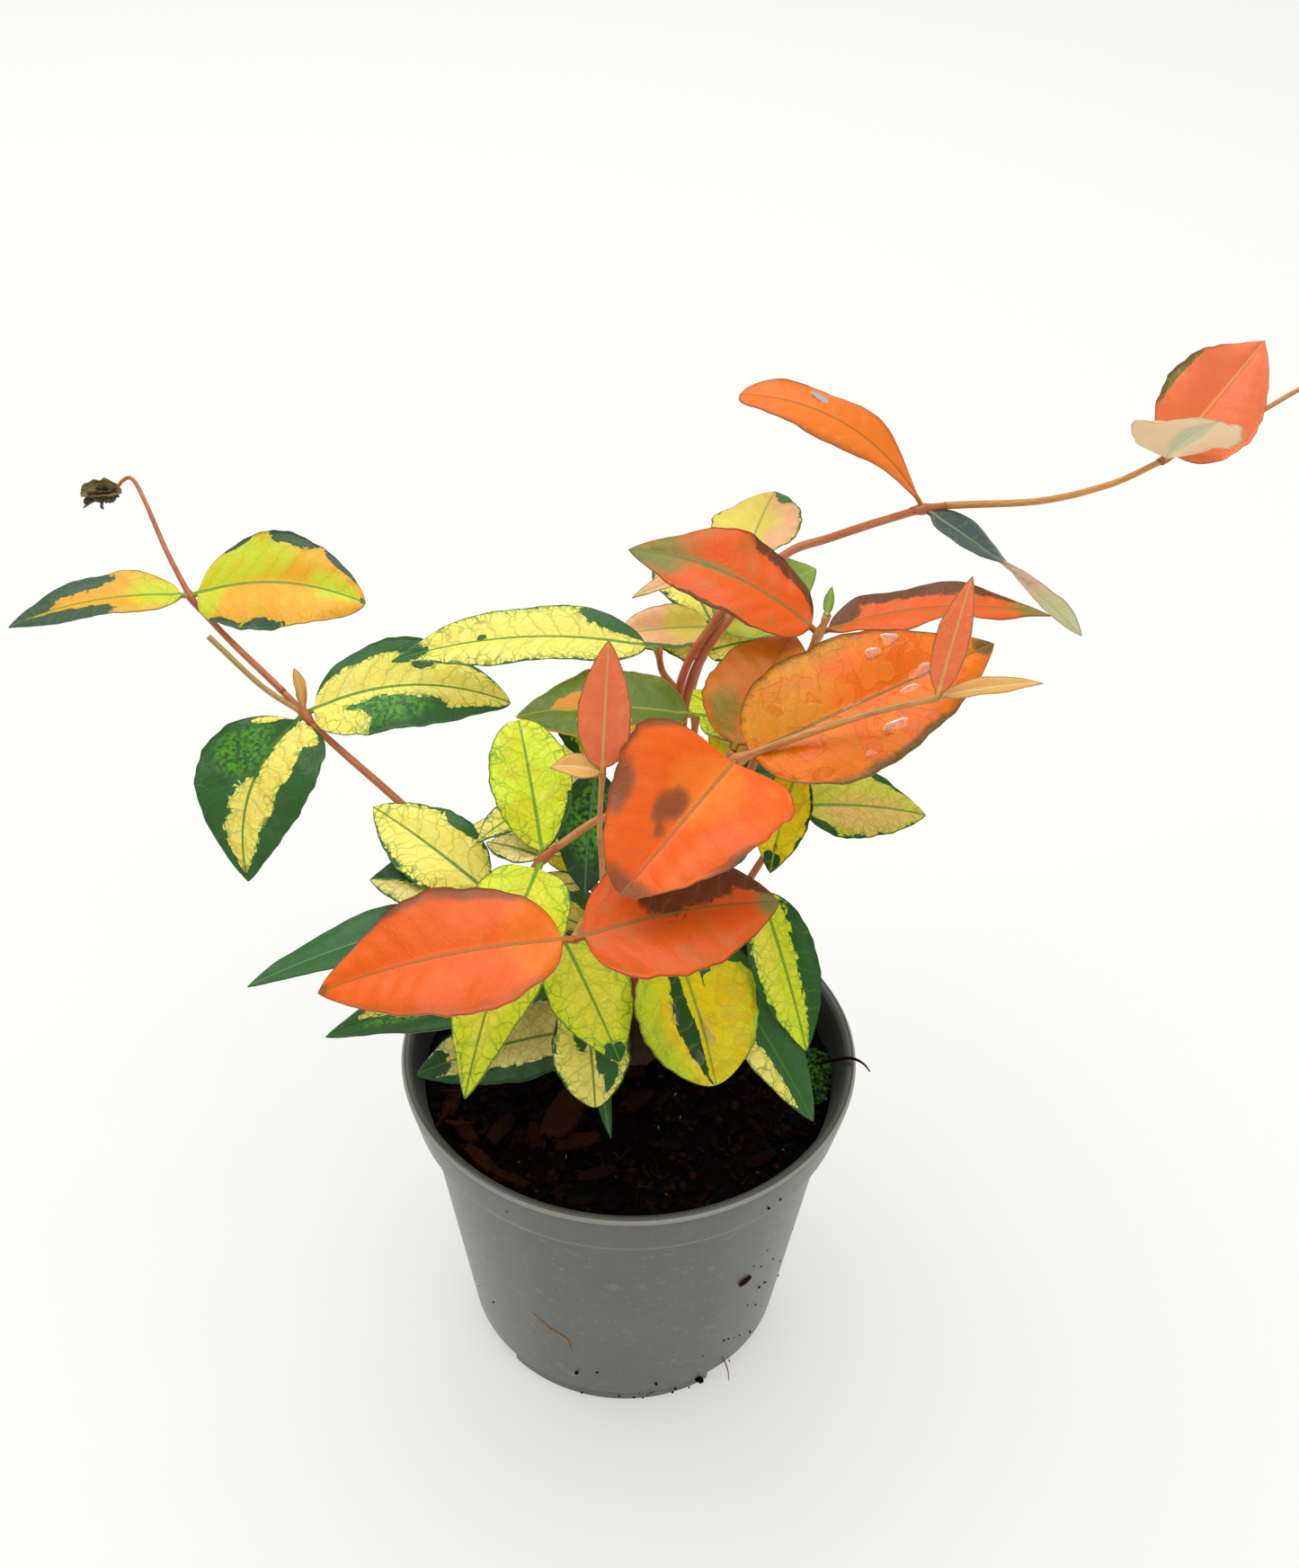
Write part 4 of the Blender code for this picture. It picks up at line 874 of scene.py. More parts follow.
def grow_stem(growth, points, radii, tone, seed, joints=(), reach=(STEM_REACH, STEM_REACH)):
    """A round stem with slight ridges, swollen at its joints. Its closed ends run on by reach."""
    route = smooth_route(points, STEM_STEP)
    route[0] = route[0] + (route[0] - route[1]).normalized() * reach[0]
    route[-1] = route[-1] + (route[-1] - route[-2]).normalized() * reach[1]
    rings, read, tones = [], [], []
    gone = 0.0
    for number, point, across, other, share in frames_along(route):
        gone += (point - route[number - 1]).length if number else 0
        near = [(point - joint).length / SWELL_REACH for joint in joints]
        swell = 1 + NODE_SWELL * sum(math.exp(-away ** 2) for away in near)
        radius = (radii[0] + (radii[1] - radii[0]) * share) * swell
        for side in range(STEM_SIDES):
            angle = 2 * math.pi * side / STEM_SIDES
            ridge = 1 + 0.05 * math.sin(3 * angle + 0.25 * gone + seed) + 0.04 * noise.noise(
                Vector((gone * 0.7, angle * 2, seed)))
            place = point + radius * ridge * (math.cos(angle) * across + math.sin(angle) * other)
            rings.append(place)
            read.append((gone, angle * radius, seed * 11.3))
            tones.append(tone[0] + (tone[1] - tone[0]) * share)
    last = len(route) - 1
    ends = [route[0], route[-1]]
    points_all = np.array([tuple(p) for p in rings + ends])
    read += [(0, 0, seed), (gone, 0, seed)]
    tones += [tone[0], tone[1]]
    quads, corners = [], []
    for low in range(last):
        for side in range(STEM_SIDES):
            after = (side + 1) % STEM_SIDES
            quads.append((low * STEM_SIDES + side, low * STEM_SIDES + after, (low + 1) * STEM_SIDES + after,
                          (low + 1) * STEM_SIDES + side))
            u0, u1 = low / last, (low + 1) / last
            v0, v1 = side / STEM_SIDES, (side + 1) / STEM_SIDES
            corners.append(((u0 * 0.96, v0, 0), (u0 * 0.96, v1, 0), (u1 * 0.96, v1, 0), (u1 * 0.96, v0, 0)))
    for end, first, turn in ((len(rings), 0, -1), (len(rings) + 1, last * STEM_SIDES, 1)):
        for side in range(0, STEM_SIDES, 2):
            around = [first + side, first + (side + 1) % STEM_SIDES, first + (side + 2) % STEM_SIDES][::turn]
            quads.append((end, *around))
            corners.append(cap_corners(end - len(rings), side))
    growth.take(points_all, np.array(quads), np.array(corners, float), 1, 1,
                {"stem_place": np.array(read), "stem_tone": np.array(tones)[:, None]})


def cap_corners(end, side):
    """Where a quad of a stem's end lies on the bake sheet: in a small round at the far edge of its cell."""
    centre = (0.98, 0.25 + 0.5 * end)
    spots = [(centre[0] + 0.015 * math.cos(2 * math.pi * (side + step) / STEM_SIDES),
              centre[1] + 0.1 * math.sin(2 * math.pi * (side + step) / STEM_SIDES), 0) for step in range(3)]
    return [(*centre, 0)] + spots[::1 if end else -1]


def leaf_frame(row):
    """(midrib, side, normal) of a leaf: with no roll its face looks as far up as it can."""
    heading, pitch, roll = (math.radians(row[key]) for key in ("heading", "pitch", "roll"))
    level = math.cos(pitch)
    midrib = Vector((level * math.cos(heading), level * math.sin(heading), math.sin(pitch)))
    up = Vector((0, 0, 1))
    normal = (up - midrib * midrib.dot(up)).normalized()
    side = midrib.cross(normal)
    return (np.array(midrib), np.array(side * math.cos(roll) - normal * math.sin(roll)),
            np.array(normal * math.cos(roll) + side * math.sin(roll)))


def half_widths(shares, row):
    """Half of the blade's width at these shares of its length: an oval with a narrow foot and its own tip."""
    along = np.clip((shares - PETIOLE_SHARE) / (1 - PETIOLE_SHARE), 1e-6, 1)
    bulge = np.sin(np.pi * along ** (math.log(0.5) / math.log(row["widest"])))
    power = np.where(along < row["widest"], ROUND_FOOT, row["tip"])
    blade = row["width"] / 2 * np.clip(bulge, 0, 1) ** power
    return np.maximum(np.maximum(blade, 0.12), PETIOLE_HALF_WIDTH * (1 - along) ** 3)


def ovals(along, across, places):
    """How far inside some ovals each point lies: 1 at a centre, 0 on an edge and -1 well outside them all."""
    deep = np.full(np.broadcast(along, across).shape, -1.0)
    for s, v, half_length, half_width in places:
        deep = np.maximum(deep, 1 - ((along - s) / half_length) ** 2 - ((across - v) / half_width) ** 2)
    return deep


def patch_cover(along, across, row, look):
    """Where the patch colour lies on the blade: above 0 inside it."""
    margin = look["margin"] if row["margin"] is None else row["margin"]
    cover = np.clip((np.abs(across) - (1 - margin)) * 3, -1, 1)
    cover = np.maximum(cover, ovals(along, across, row["dark"]))
    return np.minimum(cover, -ovals(along, across, row["clear"]))


def grow_leaf(growth, drops, root, row, seed):
    """A thin blade with a folded midrib and a rippled margin, whose narrow foot starts inside the stem."""
    draw = random.Random(seed)
    midrib, side, normal = leaf_frame(row)
    look = dict(zip(BLADE_COLOURS + ("margin", "net", "spread", "soft"), LOOKS[row["look"]]))
    step = np.linspace(0, 1, LEAF_ROWS)
    s = (0.4 * step + 0.3 * (1 - np.cos(np.pi * step)))[:, None]
    v = np.linspace(-1, 1, LEAF_COLUMNS)[None, :]
    half = half_widths(s, row)
    twist = np.radians(row["twist"]) * s
    side_here = side * np.cos(twist)[..., None] - normal * np.sin(twist)[..., None]
    normal_here = normal * np.cos(twist)[..., None] + side * np.sin(twist)[..., None]
    bow = 4 * s * (1 - s)
    middle = (np.array(root) + row["length"] * (s[..., None] * midrib + bow[..., None]
                                                * (row["arch"] * normal + row["bend"] * side)))
    fold = math.radians(row["fold"])
    valley = (np.sqrt(v * v + 0.02) - math.sqrt(0.02)) / (math.sqrt(1.02) - math.sqrt(0.02))
    rise = half * math.sin(fold) * valley + 0.05 * half * np.sin(np.pi * np.abs(v))
    blade = np.clip((s - 0.08) / 0.1, 0, 1) * np.clip((1 - s) / 0.12, 0, 1)
    ruffle = RUFFLE * min(1, row["width"] / RUFFLED_WIDTH) ** 2
    for way in (-1, 1):
        phase = draw.uniform(0, 2 * math.pi)
        turns = 2 * math.pi * draw.uniform(1.4, 2.4) * s
        here = (np.sign(v) == way) * blade
        rise = rise + here * row["wave"] * WAVE * half * np.abs(v) ** 2 * np.sin(turns + phase)
        rise = rise + here * ruffle * np.abs(v) ** 3 * np.sin(turns * RUFFLES_PER_WAVE + 2 * phase)
    dents = 2 * math.pi * (1.6 * s + 0.7 * v) + draw.uniform(0, 2 * math.pi)
    rise = rise + DENTS * row["width"] * blade * np.abs(v) * np.sin(dents)
    half = half * (1 + 0.014 * blade * np.sin(2 * math.pi * (5 * s + draw.random()))
                   + 0.01 * blade * np.sin(2 * math.pi * (11 * s + draw.random())))
    laterals = ((s * row["length"] - LATERAL_SLANT * np.abs(v) * half) / LATERAL_SPACING + 0.37 * (v > 0)) % 1
    quilting = QUILTING * min(1, row["width"] / QUILTED_WIDTH) ** 2
    rise = rise + quilting * np.sin(np.pi * laterals) * blade * np.sin(np.pi * np.abs(v))
    stalk = np.clip((0.1 - s) / 0.05, 0, 1)
    skin = LEAF_THICKNESS * (1 - 0.55 * np.abs(v) ** 6) / 2
    deep = stalk * PETIOLE_THICKNESS / 2 * np.sqrt(np.clip(1 - v * v * 0.98, 0, 1)) + (1 - stalk) * skin
    flat = middle + (v * half * math.cos(fold))[..., None] * side_here
    sides = [(flat + (rise + lift * deep)[..., None] * normal_here).reshape(-1, 3) for lift in (1, -1)]
    s_all, v_all = np.broadcast_arrays(s, v)
    tint = np.clip(ovals(s_all, v_all, row["tint"]), 0, 1)
    bright = np.clip(ovals(s_all, v_all, row["bright"]) * 1.6, 0, 1)
    margin = (1 - np.abs(v_all)) * half
    rib = MIDRIB_HALF_WIDTH * (1 - 0.8 * s_all)

    def both_faces(one, two, last):
        """Three values at each point of the upper and the lower face. The last is even on each of them."""
        return np.concatenate([np.stack([one, two, np.full(s_all.shape, value)], -1).reshape(-1, 3)
                               for value in last])

    cover = patch_cover(s_all, v_all, row, look)
    read = {"leaf_place": both_faces(s_all * row["length"], v_all * half, last=(seed % 97,) * 2),
            "leaf_dress": both_faces(cover, tint * (2 - tint), last=(look["net"],) * 2),
            "leaf_more": both_faces(bright, np.full(s_all.shape, row["wet"]), last=(look["soft"],) * 2),
            "leaf_form": both_faces(rib, margin, last=(0, 1))}
    for name in BLADE_COLOURS:
        read[f"leaf_{name}"] = np.array([*linear(look[name]), look["spread"]])
    growth.take(np.concatenate(sides), *leaf_quads(), 0, 2, read)
    for along, across, long_mm, wide_mm in row["drops"]:
        row_at = int(np.argmin(np.abs(s[:, 0] - along)))
        column = int(round((across + 1) / 2 * (LEAF_COLUMNS - 1)))
        spot = sides[0][row_at * LEAF_COLUMNS + column]
        drops.append((spot, midrib, side_here[row_at, 0], normal_here[row_at, 0], long_mm, wide_mm,
                      draw.random()))


def leaf_quads():
    """The quads of a blade's two faces and rim, and their corners on the bake sheet, in two cells."""
    quads, corners = [], []
    last_row, last_column = LEAF_ROWS - 1, LEAF_COLUMNS - 1
    per_side = LEAF_ROWS * LEAF_COLUMNS

    def spot(row, column, cell):
        return (0.02 + 0.96 * row / last_row, 0.03 + 0.94 * column / last_column, cell)

    for cell in (0, 1):
        for row in range(last_row):
            for column in range(last_column):
                ring = [(row, column), (row, column + 1), (row + 1, column + 1), (row + 1, column)]
                if cell == 0:
                    ring = ring[::-1]
                quads.append([cell * per_side + r * LEAF_COLUMNS + c for r, c in ring])
                corners.append([spot(r, c, cell) for r, c in ring])
    rim = [(row, 0) for row in range(last_row)] + [(last_row, column) for column in range(last_column)]
    rim += [(row, last_column) for row in range(last_row, 0, -1)]
    rim += [(0, column) for column in range(last_column, 0, -1)]

    def outside(row, column):
        x, y, cell = spot(row, column, 0)
        x += 0.015 * ((row == last_row) - (row == 0))
        y += 0.02 * ((column == last_column) - (column == 0))
        return (x, y, cell)

    for here, after in zip(rim, rim[1:] + rim[:1]):
        a, b = (r * LEAF_COLUMNS + c for r, c in (here, after))
        quads.append([a, b, per_side + b, per_side + a])
        corners.append([spot(*here, 0), spot(*after, 0), outside(*after), outside(*here)])
    return np.array(quads), np.array(corners, float)


def raised(points):
    """Stem points, whose heights are given from the foot of the boughs, in the object's own frame."""
    return [Vector((x, y, z + BOUGH_BASE)) for x, y, z in points]


def beside_trunk(heading, stem_radius, height):
    """A stem's first point where it just clears the trunk's side, height above or below the trunk's top."""
    share = 1 + height / TRUNK_HEIGHT
    reach = TRUNK_RADIUS + 0.1 + stem_radius + GAP
    angle = math.radians(heading)
    middle = TRUNK_AT[0] + TRUNK_LEAN * share
    return (middle + reach * math.cos(angle), TRUNK_AT[1] + reach * math.sin(angle), height)


def stem_points(plan):
    """The points that a shoot's stem runs through, from beside the trunk where it starts there."""
    start = []
    if "trunk_side" in plan:
        start = [beside_trunk(plan["trunk_side"], plan["radius"][0], SIDE_SHOOT_HEIGHT)]
    return raised(start + plan["stem"])


def hidden_plan(name, rule):
    """A shoot of the hidden side: an arching stem with pairs of leaves, each pair across the last."""
    draw = random.Random(f"{name} {SEED}")
    heading = math.radians(rule["heading"])
    outward = Vector((math.cos(heading), math.sin(heading), 0))
    start = Vector(beside_trunk(rule["heading"], 1.0, 0))
    stem = []
    for number in range(1, rule["pairs"] + 1):
        share = number / rule["pairs"]
        place = start + outward * rule["reach"] * share
        stem.append((place.x, place.y, SIDE_SHOOT_HEIGHT + rule["rise"] * math.sin(share * math.pi / 2)))
    leaves = []
    for number in range(1, rule["pairs"] + 1):
        for side in (-1, 1):
            length = draw.uniform(*HIDDEN_LEAF_LENGTH)
            spread = 38 if number % 2 else 74
            leaves.append(leaf(number, rule["heading"] + side * spread, draw.uniform(-18, 8), length,
                               length * HIDDEN_LEAF_WIDTH_SHARE, draw.uniform(-12, 12), 0.08, 8,
                               look=HIDDEN_LOOKS[(number * 2 + side + len(name)) % len(HIDDEN_LOOKS)]))
    return dict(trunk_side=rule["heading"], radius=(1.0, 0.7), stem=stem, leaves=leaves)


def dress(piece, slot, *nodes):
    """The piece moves with the plant and takes the place of these nodes. slot is not used."""
    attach(piece, "root")
    if nodes:
        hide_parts(*nodes)


def has_tip(name, root, row):
    """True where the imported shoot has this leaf: one that would have crossed others was left out there."""
    tip = (np.array(root) + row["length"] * leaf_frame(row)[0]) * MM
    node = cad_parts[name]
    corners = np.array([node.matrix_world @ corner.co for corner in node.data.vertices])
    return np.linalg.norm(corners - tip, axis=1).min() < 1.5 * MM


def grown_shoot(name, plan, drops, materials):
    """One shoot with its stem, side twigs and leaves, in place of its node."""
    growth = Growth()
    nodes = stem_points(plan)
    tone = plan.get("tone", (0.1, 0.35))
    carried = [row["node"] for row in plan["leaves"]]
    joints = [nodes[number] for number in set(carried) if number < len(nodes)]
    seed = sum(map(ord, name)) % 89
    grow_stem(growth, nodes, plan["radius"], tone, seed, joints, (STEM_REACH, 0))
    for radius, points in plan.get("twigs", ()):
        nodes += raised(points)
        grow_stem(growth, raised(points), (radius, radius), (1.2, 1.6), seed + 3, (), (0, 0))
    for row in plan.get("buds", ()):
        grow_leaf(growth, drops, nodes[row["node"]], row, seed + 5)
    for number, row in enumerate(plan["leaves"]):
        if name in HIDDEN_SHOOTS and not has_tip(name, nodes[row["node"]], row):
            continue
        grow_leaf(growth, drops, nodes[row["node"]], row, seed + 7 * number + 1)
    piece = growth.piece(f"{name}_grown", materials)
    dress(piece, slot_of(name), name)


def slot_of(name):
    """The finish that a shoot's leaves have in the record."""
    if name in ORANGE_SHOOTS:
        return "orange_leaves"
    return "yellow_leaves" if name in YELLOW_SHOOTS else "green_leaves"


def object_of(name, shape, made):
    """A scene object from a bmesh, which it uses up."""
    bmesh.ops.recalc_face_normals(shape, faces=shape.faces)
    mesh = bpy.data.meshes.new(name)
    shape.to_mesh(mesh)
    shape.free()
    mesh.materials.append(made)
    mesh.shade_smooth()
    return placed(name, mesh)


def turned(profile, segments):
    """The closed solid that a profile of (radius, height) makes round the Z axis."""
    shape = bmesh.new()
    corners = [shape.verts.new((r * MM, 0, z * MM)) for r, z in profile]
    edges = [shape.edges.new(pair) for pair in zip(corners, corners[1:])]
    bmesh.ops.spin(shape, geom=corners + edges, cent=(0, 0, 0), axis=(0, 0, 1), angle=2 * math.pi,
                   steps=segments, use_merge=True)
    bmesh.ops.remove_doubles(shape, verts=shape.verts, dist=1e-6)
    return shape


def rounded(profile, radius):
    """The profile with each inner corner replaced by a small arc."""
    smooth = [profile[0]]
    for before, here, after in zip(profile, profile[1:], profile[2:]):
        b, h, a = (Vector(p) for p in (before, here, after))
        back, on = (b - h), (a - h)
        cut = min(radius, back.length * 0.45, on.length * 0.45)
        start, end = h + back.normalized() * cut, h + on.normalized() * cut
        for number in range(ARC_STEPS + 1):
            t = number / ARC_STEPS
            smooth.append(tuple((1 - t) ** 2 * start + 2 * t * (1 - t) * h + t * t * end))
    return smooth + [profile[-1]]


def make_pot(made):
    """The moulded pot: rolled lip, collar over a soft step, tapered body and a foot with drain notches."""
    collar_foot = POT_HEIGHT - COLLAR_HEIGHT
    ring_top = FOOT_HEIGHT + FLOOR_THICKNESS
    profile = [
        (0, FLOOR_THICKNESS),
        (29, FLOOR_THICKNESS),
        (30, ring_top),
        (BODY_FOOT_RADIUS - WALL, ring_top),
        (BODY_TOP_RADIUS - WALL, collar_foot),
        (RIM_RADIUS - LIP_WIDTH - 0.3, POT_HEIGHT - 2.4),
        (RIM_RADIUS - LIP_WIDTH, POT_HEIGHT - 0.9),
        (RIM_RADIUS - LIP_WIDTH + 0.9, POT_HEIGHT),
        (RIM_RADIUS - 0.7, POT_HEIGHT),
        (RIM_RADIUS, POT_HEIGHT - 0.8),
        (RIM_RADIUS - 0.25, POT_HEIGHT - 2.2),
        (COLLAR_FOOT_RADIUS, collar_foot + 0.8),
        (COLLAR_FOOT_RADIUS - 0.6, collar_foot - 0.2),
        (BODY_TOP_RADIUS + 0.4, collar_foot - 1.2),
        (BODY_TOP_RADIUS - 0.1, collar_foot - 3),
        (BODY_FOOT_RADIUS, FOOT_HEIGHT),
        (FOOT_RADIUS + 0.3, FOOT_HEIGHT - 0.8),
        (FOOT_RADIUS, 0.5),
        (FOOT_RADIUS - 0.5, 0),
        (0, 0),
    ]
    pot = object_of("pot_moulded", turned(rounded(profile, POT_ROUNDING), POT_SEGMENTS), made)
    for number in range(DRAIN_NOTCHES):
        cutter = bmesh.new()
        bmesh.ops.create_cube(cutter, size=1)
        bmesh.ops.scale(cutter, vec=(12 * MM, DRAIN_NOTCH_WIDTH * MM, 2 * DRAIN_NOTCH_HEIGHT * MM),
                        verts=cutter.verts)
        outward = (FOOT_RADIUS - DRAIN_NOTCH_DEPTH + 6) * MM
        bmesh.ops.translate(cutter, vec=(outward, 0, 0), verts=cutter.verts)
        turn = Matrix.Rotation(math.radians(FIRST_NOTCH + number * 360 / DRAIN_NOTCHES), 3, "Z")
        bmesh.ops.rotate(cutter, cent=(0, 0, 0), matrix=turn, verts=cutter.verts)
        tool = object_of(f"notch_{number}", cutter, made)
        cut = pot.modifiers.new("notch", "BOOLEAN")
        cut.operation = "DIFFERENCE"
        cut.object = tool
        graph = bpy.context.evaluated_depsgraph_get()
        whole = bpy.data.meshes.new_from_object(pot.evaluated_get(graph))
        pot.modifiers.clear()
        pot.data = whole
        bpy.data.objects.remove(tool, do_unlink=True)
    pot.data.shade_smooth()
    pot.data.set_sharp_from_angle(angle=math.radians(50))
    dress(pot, "moulded_plastic", "pot")


def inner_radius(height):
    """The pot's inner radius at this height above its underside, in the tapered body or in the collar."""
    low, middle, high = FOOT_HEIGHT + FLOOR_THICKNESS, POT_HEIGHT - COLLAR_HEIGHT, POT_HEIGHT - 2.4
    if height <= middle:
        share = (height - low) / (middle - low)
        return BODY_FOOT_RADIUS - WALL + share * (BODY_TOP_RADIUS - BODY_FOOT_RADIUS)
    share = (height - middle) / (high - middle)
    return BODY_TOP_RADIUS - WALL + share * (RIM_RADIUS - LIP_WIDTH - 0.3 - BODY_TOP_RADIUS + WALL)


def mix_height(x, y):
    """The height of the mix's uneven top, in millimetres."""
    edge = inner_radius(SOIL_EDGE_HEIGHT)
    reach = min(1.0, math.hypot(x, y) / edge)
    place = Vector((x, y, 0))
    rough = 0.9 * noise.noise(place * 0.12) + 0.5 * noise.noise(place * 0.35) + 0.3 * noise.noise(place * 1.1)
    return SOIL_EDGE_HEIGHT + SOIL_CROWN * (1 - reach ** 2) + rough


def make_mix(made):
    """The body of the mix under its loose top."""
    edge = inner_radius(SOIL_EDGE_HEIGHT) - 0.15
    floor = FOOT_HEIGHT + FLOOR_THICKNESS + GAP
    profile = [(r, SOIL_EDGE_HEIGHT) for r in np.linspace(0, edge, MIX_RINGS)]
    profile += [(inner_radius(POT_HEIGHT - COLLAR_HEIGHT) - GAP, POT_HEIGHT - COLLAR_HEIGHT),
                (inner_radius(floor) - GAP, floor), (0, floor)]
    shape = turned(profile, MIX_SEGMENTS)
    for corner in shape.verts:
        if corner.co.z > (SOIL_EDGE_HEIGHT - 0.5) * MM:
            corner.co.z = mix_height(corner.co.x / MM, corner.co.y / MM) * MM
    mix = object_of("mix_body", shape, made)
    dress(mix, "damp_mix", "potting_mix")


class Bits:
    """Gathers many small closed shapes into one piece, each with its own tone."""

    def __init__(self):
        self.points, self.faces, self.tones = [], [], []

    def take(self, points, faces, tone):
        first = len(self.points)
        self.points += points
        self.faces += [[first + corner for corner in face] for face in faces]
        self.tones += [tone] * len(points)

    def piece(self, name, made):
        mesh = bpy.data.meshes.new(name)
        mesh.from_pydata([tuple(c * MM for c in p) for p in self.points], [], self.faces)
        mesh.update()
        mesh.materials.append(made)
        mesh.attributes.new("bit_tone", "FLOAT", "POINT").data.foreach_set("value", self.tones)
        mesh.shade_smooth()
        mesh.set_sharp_from_angle(angle=math.radians(45))
        return placed(name, mesh)


def ball(subdivisions):
    """Points and faces of a unit ball."""
    shape = bmesh.new()
    bmesh.ops.create_icosphere(shape, subdivisions=subdivisions, radius=1)
    points = [Vector(corner.co) for corner in shape.verts]
    faces = [[corner.index for corner in face.verts] for face in shape.faces]
    shape.free()
    return points, faces


def lump(bits, unit, centre, size, draw, tone):
    """A crumb or chip: a ball stretched to size, roughened and turned at random."""
    points, faces = unit
    turn = Matrix.Rotation(draw.uniform(0, 2 * math.pi), 3, "Z") @ Matrix.Rotation(draw.gauss(0, 0.3), 3, "X")
    turn = turn @ Matrix.Rotation(draw.gauss(0, 0.25), 3, "Y")
    shift = Vector((draw.uniform(0, 90), draw.uniform(0, 90), draw.uniform(0, 90)))
    made = []
    for point in points:
        grown = 1 + LUMP_ROUGHNESS * noise.noise(point * 1.7 + shift)
        spot = Vector((point.x * size[0], point.y * size[1], point.z * size[2])) * grown
        made.append(tuple(turn @ spot + centre))
    bits.take(made, faces, tone)


def strand(bits, route, radius, tone, sides=6):
    """A thin closed strand along a route, tapering at both ends."""
    rings = []
    for _, point, across, other, share in frames_along(route):
        here = radius * (0.35 + 0.65 * math.sin(math.pi * min(1, share * 0.9 + 0.08)))
        rings.append([tuple(point + here * (math.cos(a) * across + math.sin(a) * other))
                      for a in (2 * math.pi * side / sides for side in range(sides))])
    points = [corner for ring in rings for corner in ring]
    faces = []
    for low in range(len(rings) - 1):
        for side in range(sides):
            after = (side + 1) % sides
            faces.append([low * sides + side, low * sides + after, (low + 1) * sides + after,
                          (low + 1) * sides + side])
    faces.append(list(range(sides))[::-1])
    faces.append([len(points) - sides + side for side in range(sides)])
    bits.take(points, faces, tone)


def sheet_faces(rows, columns):
    """The quads of a thin sheet's two faces and rim. Its points come row by row, the upper face's first."""
    under = rows * columns
    faces = []
    for row in range(rows - 1):
        for column in range(columns - 1):
            a, b = row * columns + column, (row + 1) * columns + column
            faces += [[a, b, b + 1, a + 1], [under + a, under + a + 1, under + b + 1, under + b]]
    rim = [*range(columns - 1), *range(columns - 1, under - 1, columns)]
    rim += [*range(under - 1, under - columns, -1), *range(under - columns, 0, -columns)]
    return faces + [[here, after, under + after, under + here] for here, after in zip(rim, rim[1:] + rim[:1])]


def chip(bits, place, length, width, draw, tone, turn=None):
    """A flat splinter of bark with lengthwise ridges and ragged ends, lying on the mix at a slight tilt."""
    turn = draw.uniform(0, math.pi) if turn is None else turn
    tilt = Matrix.Rotation(turn, 3, "Z") @ Matrix.Rotation(draw.uniform(-0.25, 0.25), 3, "Y")
    tilt = tilt @ Matrix.Rotation(draw.uniform(-0.3, 0.3), 3, "X")
    ragged = [(draw.uniform(0.8, 1.15), draw.uniform(0.8, 1.15), draw.uniform(-0.25, 0.25))
              for _ in range(CHIP_ROWS)]
    thick = 0.45 + 0.08 * width
    top, bottom = [], []
    for number in range(CHIP_STEPS):
        along = 2 * number / (CHIP_STEPS - 1) - 1
        for row, (front, back, ridge) in enumerate(ragged):
            across = 2 * row / (CHIP_ROWS - 1) - 1
            reach = along * length / 2 * (back if along < 0 else front)
            narrow = 1 - 0.35 * along * along + draw.uniform(-0.05, 0.05)
            x, y = reach, across * width / 2 * narrow
            lift = thick * (1 - 0.5 * across * across) * (1 + ridge) + 0.12 * math.sin(5 * along + 3 * row)
            top.append(place + tilt @ Vector((x, y, lift)))
            bottom.append(place + tilt @ Vector((x * 0.96, y * 0.96, -thick)))
    bits.take(top + bottom, sheet_faces(CHIP_STEPS, CHIP_ROWS), tone)


